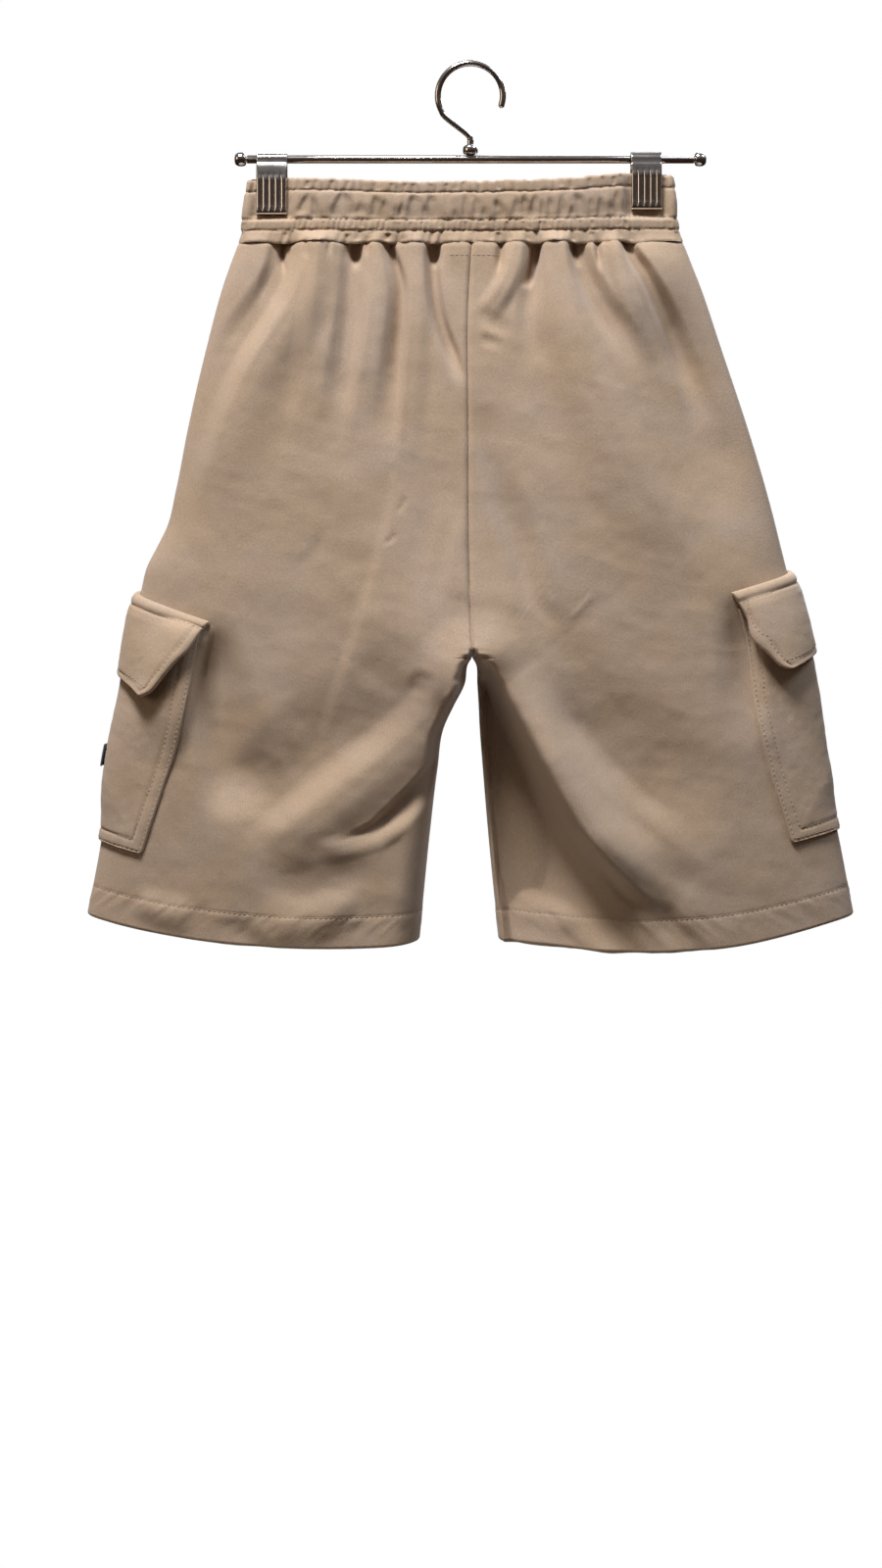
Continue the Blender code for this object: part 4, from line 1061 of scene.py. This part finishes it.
def inset_line(surface, inset, first_row):
    """A line down a laid-on piece's rear edge, along its bottom and up its front, at an inset."""
    rear, front, top, bottom = surface["edges"]
    middle = rear.shape[1] // 2
    low = nearest(bottom[:, middle], inset)
    sides = range(nearest(top[:, middle], first_row), low + 1)
    line = [(i, nearest(rear[i], inset)) for i in sides]
    line += [(low, j) for j in range(line[-1][1] + 1, nearest(front[low], inset) + 1)]
    line += [(i, nearest(front[i], inset)) for i in sides[-2::-1]]
    i, j = np.array(line).T
    return surface["points"][i, j], surface["normals"][i, j]


def row_line(surface, row, chosen=slice(None)):
    """The points of one row of a surface, and their normals."""
    return surface["points"][row, chosen], surface["normals"][row, chosen]


def patch_line(surface, reach):
    """The stitched line of the patch under the waistband at the centre back."""
    row = nearest(surface["rows"] * HEM_DROP, PATCH_DOWN)
    return row_line(surface, row, surface["reached"][row, -1] - surface["reached"][row] < reach)


def build_stitching(surfaces, band, pockets, material):
    hems = [row_line(s, nearest(s["rows"] * HEM_DROP, HEM_DROP - HEM_HEIGHT)) for s in surfaces.values()]
    patch = [patch_line(surfaces[side, "back"], reach) for side, reach in PATCH_REACH.items()]
    stitches("hem_stitches", hems + patch, material)
    lines = [row_line(band, nearest(band["levels"], line)) for line in STITCH_LINES]
    stitches("waistband_stitches", lines, material)
    for side, (pocket, flap) in pockets.items():
        runs = [inset_line(pocket, inset, 6.0) for inset in POCKET_STITCH]
        runs.append(inset_line(flap, FLAP_STITCH, STRIP + 2))
        top = flap["edges"][2]
        runs.append(row_line(flap, nearest(top[:, top.shape[1] // 2], STRIP)))
        stitches(f"pocket_stitches_{side}", runs, material)


# ---------------------------------------------------------------- hanger
CLIP_RIBS = 5  # bright ribs across a jaw
CLIP_BOW = 3.7  # radius of a clip's bow over the bar
CLIP_SHEET = 0.9
CLIP_LINE = table(
    # a jaw's outline from its foot to the bow over the bar: out, down, and how much the ribs stand out
    "out down rib",
    (4.3, 20.6, 0.0), (5.4, 21.5, 0.0), (6.6, 21.4, 0.0), (7.0, 20.6, 0.1), (6.7, 19.6, 0.5),
    (6.1, 18.4, 1.0), (5.9, 16.0, 1.0), (5.9, 8.0, 1.0), (5.9, 3.0, 1.0), (6.1, 0.5, 0.8), (6.1, -2.0, 0.2),
    (5.8, -4.5, 0.0), (5.0, -7.5, 0.0), (4.0, -10.0, 0.0),
)
BAR_CAP = table(
    "along radius", (0.3, 0.4), (0.3, 2.8), (0.7, 3.6), (1.4, 4.1), (3.2, 4.3), (5.2, 4.1), (6.6, 3.3),
    (7.2, 2.2), (7.4, 0.6),
)
COLLAR = table(
    "along radius", (0, 0.4), (0, 2.8), (0.5, 4.0), (1.2, 4.5), (2.8, 4.6), (4.4, 4.5), (5.2, 3.9),
    (5.9, 2.9), (6.0, 0.4),
)


def build_clip(side, metal):
    """A bright clip: ribbed jaws with a rolled lip, bent over the bar."""
    top = np.interp(CLIP_X[side], BAND_TOP["x"], BAND_TOP["down"])
    line = curve_through(np.stack(list(CLIP_LINE.values()), axis=1), 5)
    line[:, 1] = line[:, 1] + top * (line[:, 1] > -6)
    turns = np.linspace(0, math.pi / 2, 9)
    over = np.stack([CLIP_BOW * np.cos(turns), -BAR_RISE - CLIP_BOW * np.sin(turns), 0 * turns], axis=1)
    half = np.concatenate((line, over))
    full = np.concatenate((half, half[-2::-1] * np.array((-1, 1, 1))))
    across = np.linspace(-1, 1, 91)
    rim = 1 - np.clip((np.abs(across) - 0.93) / 0.07, 0, 1) ** 2
    wave = np.abs(np.cos(across * math.pi / 2 * CLIP_RIBS)) ** 0.45
    run = np.gradient(full[:, :2], axis=0)
    out = unit(np.stack([-run[:, 1], run[:, 0]], axis=1))
    out = out * np.sign((out * np.stack([full[:, 0], -BAR_RISE - full[:, 1]], axis=1)).sum(axis=1))[:, None]
    lift = 1.2 * full[:, 2:3] * wave + 0.5 * (rim - 1)
    profile = full[:, None, :2] + out[:, None, :] * lift[..., None]
    under = full[:, None, :2] - out[:, None, :] * CLIP_SHEET
    x = CLIP_X[side] + across * CLIP_WIDTH / 2
    outer = to_world(x, profile[..., 1], profile[..., 0])
    inner = to_world(x, under[..., 1], under[..., 0])
    uv = np.stack(np.broadcast_arrays(across[None, :], full[:, 1:2]), axis=-1)
    shell(f"clip_{side}", outer, inner, uv, metal, slot="hanger_metal")


def turned_piece(node, line, radii, metal, sides=48):
    """A round piece along a line of points, with closed ends, in a node's place."""
    line = np.array(line, float)
    flat = np.array((0.0, 1.0, 0.0))
    third = np.cross(unit(np.gradient(line, axis=0)), flat)
    turns = np.linspace(0, 2 * math.pi, sides + 1)[:-1]
    rings = line[:, None] + np.array(radii)[:, None, None] * (
        np.cos(turns)[None, :, None] * flat + np.sin(turns)[None, :, None] * third[:, None]
    )
    start = len(line) * sides
    index = np.arange(start).reshape(-1, sides)
    index = np.concatenate((index, index[:, :1]), axis=1)
    vertices = np.concatenate((rings.reshape(-1, 3), [line[0], line[-1]])) * MM
    first, last = index[0].tolist(), index[-1].tolist()
    faces = grid_faces(index)
    faces += [(first[k], first[k + 1], start) for k in range(sides)]
    faces += [(last[k + 1], last[k], start + 1) for k in range(sides)]
    piece = mesh_object(f"{node}_metal", vertices, faces, metal)
    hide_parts(node)


def build_hanger(metal):
    """The bar with a cap at each end, and the hook in its collar."""
    bar_z = BAR_RISE - WAIST_BELOW_HOOK
    half = ((-BAR_END, 0.4), (-BAR_END + 0.01, BAR_RADIUS - 0.5), (-BAR_END + 0.6, BAR_RADIUS))
    bar = half + tuple((-x, radius) for x, radius in reversed(half))
    turned_piece("bar", [(x, 0, bar_z) for x, _ in bar], [radius for _, radius in bar], metal)
    for side in ("left", "right"):
        line = [(sign_of(side) * (BAR_END + along), 0, bar_z) for along in BAR_CAP["along"]]
        turned_piece(f"bar_cap_{side}", line, BAR_CAP["radius"], metal)
    low = bar_z + BAR_RADIUS + SEAM_GAP
    turned_piece("collar", [(0, 0, low + along) for along in COLLAR["along"]], COLLAR["radius"], metal)
    foot = low + COLLAR["along"][-1] + SEAM_GAP
    radius = HOOK_INSIDE + HOOK_WIRE
    turns = np.radians(np.arange(*HOOK_TURNS))
    arc = [(radius * math.cos(a), 0, radius * math.sin(a) - HOOK_INSIDE) for a in turns]
    bend = [(0, 0, foot), (0, 0, foot + 1.5), (0, 0, foot + 3.0), (-2.0, 0, foot + 6.5)]
    line = curve_through(bend + arc, 8)
    tip = line[-1] + unit(line[-1] - line[-2])[None] * np.array((0.5, 1.0, 1.5))[:, None]
    radii = [HOOK_WIRE] * len(line) + [HOOK_WIRE * share for share in (0.9, 0.62, 0.15)]
    turned_piece("hook", np.concatenate((line, tip)), radii, metal, sides=28)


# ---------------------------------------------------------------- materials
class Nodes:
    """A short way to write the nodes of a material or a world."""

    def __init__(self, owner):
        owner.use_nodes = True
        self.tree = owner.node_tree

    def set(self, node, **values):
        """Sets a node's own settings and inputs; an input can be another node's output."""
        for key, value in values.items():
            name = key.replace("_", " ")
            if hasattr(node, key):
                setattr(node, key, value)
            elif isinstance(value, bpy.types.NodeSocket):
                self.tree.links.new(value, node.inputs[name])
            else:
                node.inputs[name].default_value = value

    def add(self, kind, **values):
        node = self.tree.nodes.new("ShaderNode" + kind)
        self.set(node, **values)
        return node

    def ramp(self, factor, *stops):
        """A colour from a factor; each stop is a position and a colour."""
        node = self.add("ValToRGB", Fac=factor)
        elements = node.color_ramp.elements
        for position, _ in stops[1:-1]:
            elements.new(position)
        for element, (position, colour) in zip(elements, stops):
            element.position = position
            element.color = (*colour, 1)
        return node.outputs["Color"]

    def noise(self, scale, detail, roughness=0.5):
        """Noise fixed to the object; the scale is in features a metre."""
        place = self.add("TexCoord").outputs["Object"]
        node = self.add("TexNoise", Vector=place, Scale=scale, Detail=detail, Roughness=roughness)
        return node.outputs["Fac"]

    def ribs(self, pitch, distortion, detail):
        """Ribs at a pitch in millimetres, down the flat cloth."""
        flat = self.add("UVMap", uv_map="cloth_mm").outputs["UV"]
        scale = 2 * math.pi / (20 * pitch)
        wave = self.add("TexWave", Vector=flat, Scale=scale, Distortion=distortion, Detail=detail)
        return wave.outputs["Fac"]

    def bump(self, height, strength, distance, **under):
        node = self.add("Bump", Height=height, Strength=strength, Distance=distance, **under)
        return node.outputs["Normal"]


def new_material(name, **constants):
    """A material, its nodes and its shader, with the shader's constant inputs set."""
    material = bpy.data.materials.new(name)
    nodes = Nodes(material)
    shader = nodes.tree.nodes["Principled BSDF"]
    nodes.set(shader, **constants)
    return material, nodes, shader


def cloth_material():
    """Brushed cotton jersey: fine wales, a little fuzz, and a slow drift between two beiges."""
    material, nodes, shader = new_material(
        "brushed_jersey", Roughness=0.94, Specular_IOR_Level=0.25, Sheen_Weight=0.2, Sheen_Roughness=0.5,
        Sheen_Tint=(1.0, 0.96, 0.92, 1.0),
    )
    drift = nodes.noise(22.0, 3.0, 0.55)
    tint = nodes.ramp(drift, (0.36, (0.455, 0.328, 0.216)), (0.66, (0.462, 0.345, 0.250)))
    fleck = nodes.noise(900.0, 2.0, 0.6)
    speckle = nodes.ramp(fleck, (0.30, (0.90, 0.90, 0.90)), (0.70, (1.07, 1.07, 1.07)))
    blend = nodes.add("MixRGB", blend_type="MULTIPLY", Fac=1.0, Color1=tint, Color2=speckle)
    wales = nodes.bump(nodes.ribs(0.95, 1.2, 1.0), 0.20, 0.0003)
    fuzz = nodes.bump(nodes.noise(650.0, 4.0, 0.65), 0.30, 0.0005, Normal=wales)
    nodes.set(shader, Base_Color=blend.outputs["Color"], Normal=fuzz)
    return material


def thread_material():
    material, nodes, shader = new_material("sewing_thread", Roughness=0.7)
    tint = nodes.ramp(nodes.noise(1800.0, 1.0), (0.3, (0.33, 0.24, 0.155)), (0.7, (0.45, 0.34, 0.24)))
    nodes.set(shader, Base_Color=tint)
    return material


def label_material():
    """Dark woven tape with fine ribs."""
    material, nodes, shader = new_material("label_weave", Roughness=0.75, Sheen_Weight=0.15)
    weave = nodes.ribs(0.5, 0.3, 2.0)
    tint = nodes.ramp(weave, (0.2, (0.035, 0.035, 0.042)), (0.8, (0.075, 0.075, 0.085)))
    nodes.set(shader, Base_Color=tint, Normal=nodes.bump(weave, 0.4, 0.0002))
    return material


def chrome_material():
    """Bright plate with faint smudges."""
    material, nodes, shader = new_material("bright_chrome", Metallic=1.0, Base_Color=(0.66, 0.63, 0.61, 1))
    dull = nodes.add("MapRange", Value=nodes.noise(140.0, 3.0), To_Min=0.08, To_Max=0.24)
    nodes.set(shader, Roughness=dull.outputs["Result"])
    return material


# ---------------------------------------------------------------- stage, light and camera
PIXEL = 0.6  # millimetres in the garment's plane for one pixel of the 900 x 1600 frame
LENS = 70.0
SENSOR = 36.0
CAMERA_DISTANCE = 1600 * PIXEL * LENS / SENSOR
CAMERA_X = -18.0
CAMERA_DOWN = 236.0
SHIFT = -0.14
FLOOR_BELOW_HOOK = 1.65  # metres, as is the floor's radius
FLOOR_RADIUS = 0.75
LIGHT_TARGET = (0.0, 0.0, -0.33)
LIGHTS = (
    # name, place and size in metres, watts, colour
    ("key", (-0.5, -0.85, 1.75), (0.75, 0.5), 76, (0.97, 0.98, 1.03)),
    ("left_fill", (-1.9, -1.0, 0.4), (1.0, 1.0), 5, (1.05, 0.85, 0.65)),
    ("window", (1.2, -0.5, 1.2), (0.7, 0.7), 11, (0.82, 0.96, 1.2)),
    ("far_side", (0.7, 1.6, 0.9), (1.2, 1.2), 30, (0.97, 0.98, 1.0)),
)


def build_floor():
    mesh = bpy.data.meshes.new("floor")
    turns = np.linspace(0, 2 * math.pi, 97)[:-1]
    rim = [(FLOOR_RADIUS * math.cos(a), FLOOR_RADIUS * math.sin(a), -FLOOR_BELOW_HOOK) for a in turns]
    mesh.from_pydata(rim, [], [tuple(range(len(rim)))])
    pale, _, _ = new_material("pale_floor", Base_Color=(0.86, 0.86, 0.85, 1), Roughness=0.8)
    mesh.materials.append(pale)
    new_object("floor", mesh)


def build_world():
    """White behind the object, and a dimmer room for what it reflects and for the fill."""
    world = bpy.data.worlds.new("room")
    nodes = Nodes(world)
    nodes.tree.nodes.clear()
    place = nodes.add("TexCoord").outputs["Generated"]
    height = nodes.add("SeparateXYZ", Vector=place).outputs["Z"]
    share = nodes.add("MapRange", Value=height, From_Min=-1.0).outputs["Result"]
    glow = nodes.ramp(share, (0.0, (0.04, 0.02, 0.01)), (0.5, (0.11, 0.06, 0.034)), (1.0, (0.50, 0.50, 0.50)))
    room = nodes.add("Background", Color=glow, Strength=0.42)
    white = nodes.add("Background", Color=(1, 1, 1, 1))
    choose = nodes.add("MixShader", Fac=nodes.add("LightPath").outputs["Is Camera Ray"])
    for socket, light in zip(choose.inputs[1:], (room, white)):
        nodes.tree.links.new(light.outputs["Background"], socket)
    nodes.add("OutputWorld", Surface=choose.outputs["Shader"])
    bpy.context.scene.world = world


def build_lights():
    for name, place, size, power, colour in LIGHTS:
        light = bpy.data.lights.new(name, "AREA")
        light.shape = "RECTANGLE"
        light.size, light.size_y = size
        light.energy = power
        light.color = colour
        obj = new_object(name, light)
        obj.location = place
        ray = np.array(LIGHT_TARGET) - np.array(place)
        flat = math.hypot(ray[0], ray[1])
        obj.rotation_euler = (math.atan2(flat, -ray[2]), 0, math.atan2(-ray[0], ray[1]))


def build_camera():
    camera = bpy.data.cameras.new("camera")
    camera.lens = LENS
    camera.sensor_width = SENSOR
    camera.shift_y = SHIFT
    obj = new_object("camera", camera)
    obj.location = (CAMERA_X * MM, -CAMERA_DISTANCE * MM, (-WAIST_BELOW_HOOK - CAMERA_DOWN) * MM)
    obj.rotation_euler = (math.pi / 2, 0, 0)
    bpy.context.scene.camera = obj


def main():
    build_camera()
    cloth = cloth_material()
    thread = thread_material()
    label_cloth = label_material()
    metal = chrome_material()
    surfaces = {}
    pockets = {}
    for side in ("left", "right"):
        for face in ("back", "front"):
            surfaces[side, face] = build_panel(side, face, cloth)
        sheet = leg_sheet(surfaces[side, "back"], surfaces[side, "front"])
        pockets[side] = build_pocket(side, sheet, cloth, label_cloth)
        build_clip(side, metal)
    band = build_waistband(cloth)
    build_stitching(surfaces, band, pockets, thread)
    build_hanger(metal)
    build_floor()
    build_world()
    build_lights()
    bpy.context.scene.view_settings.view_transform = "Standard"


main()
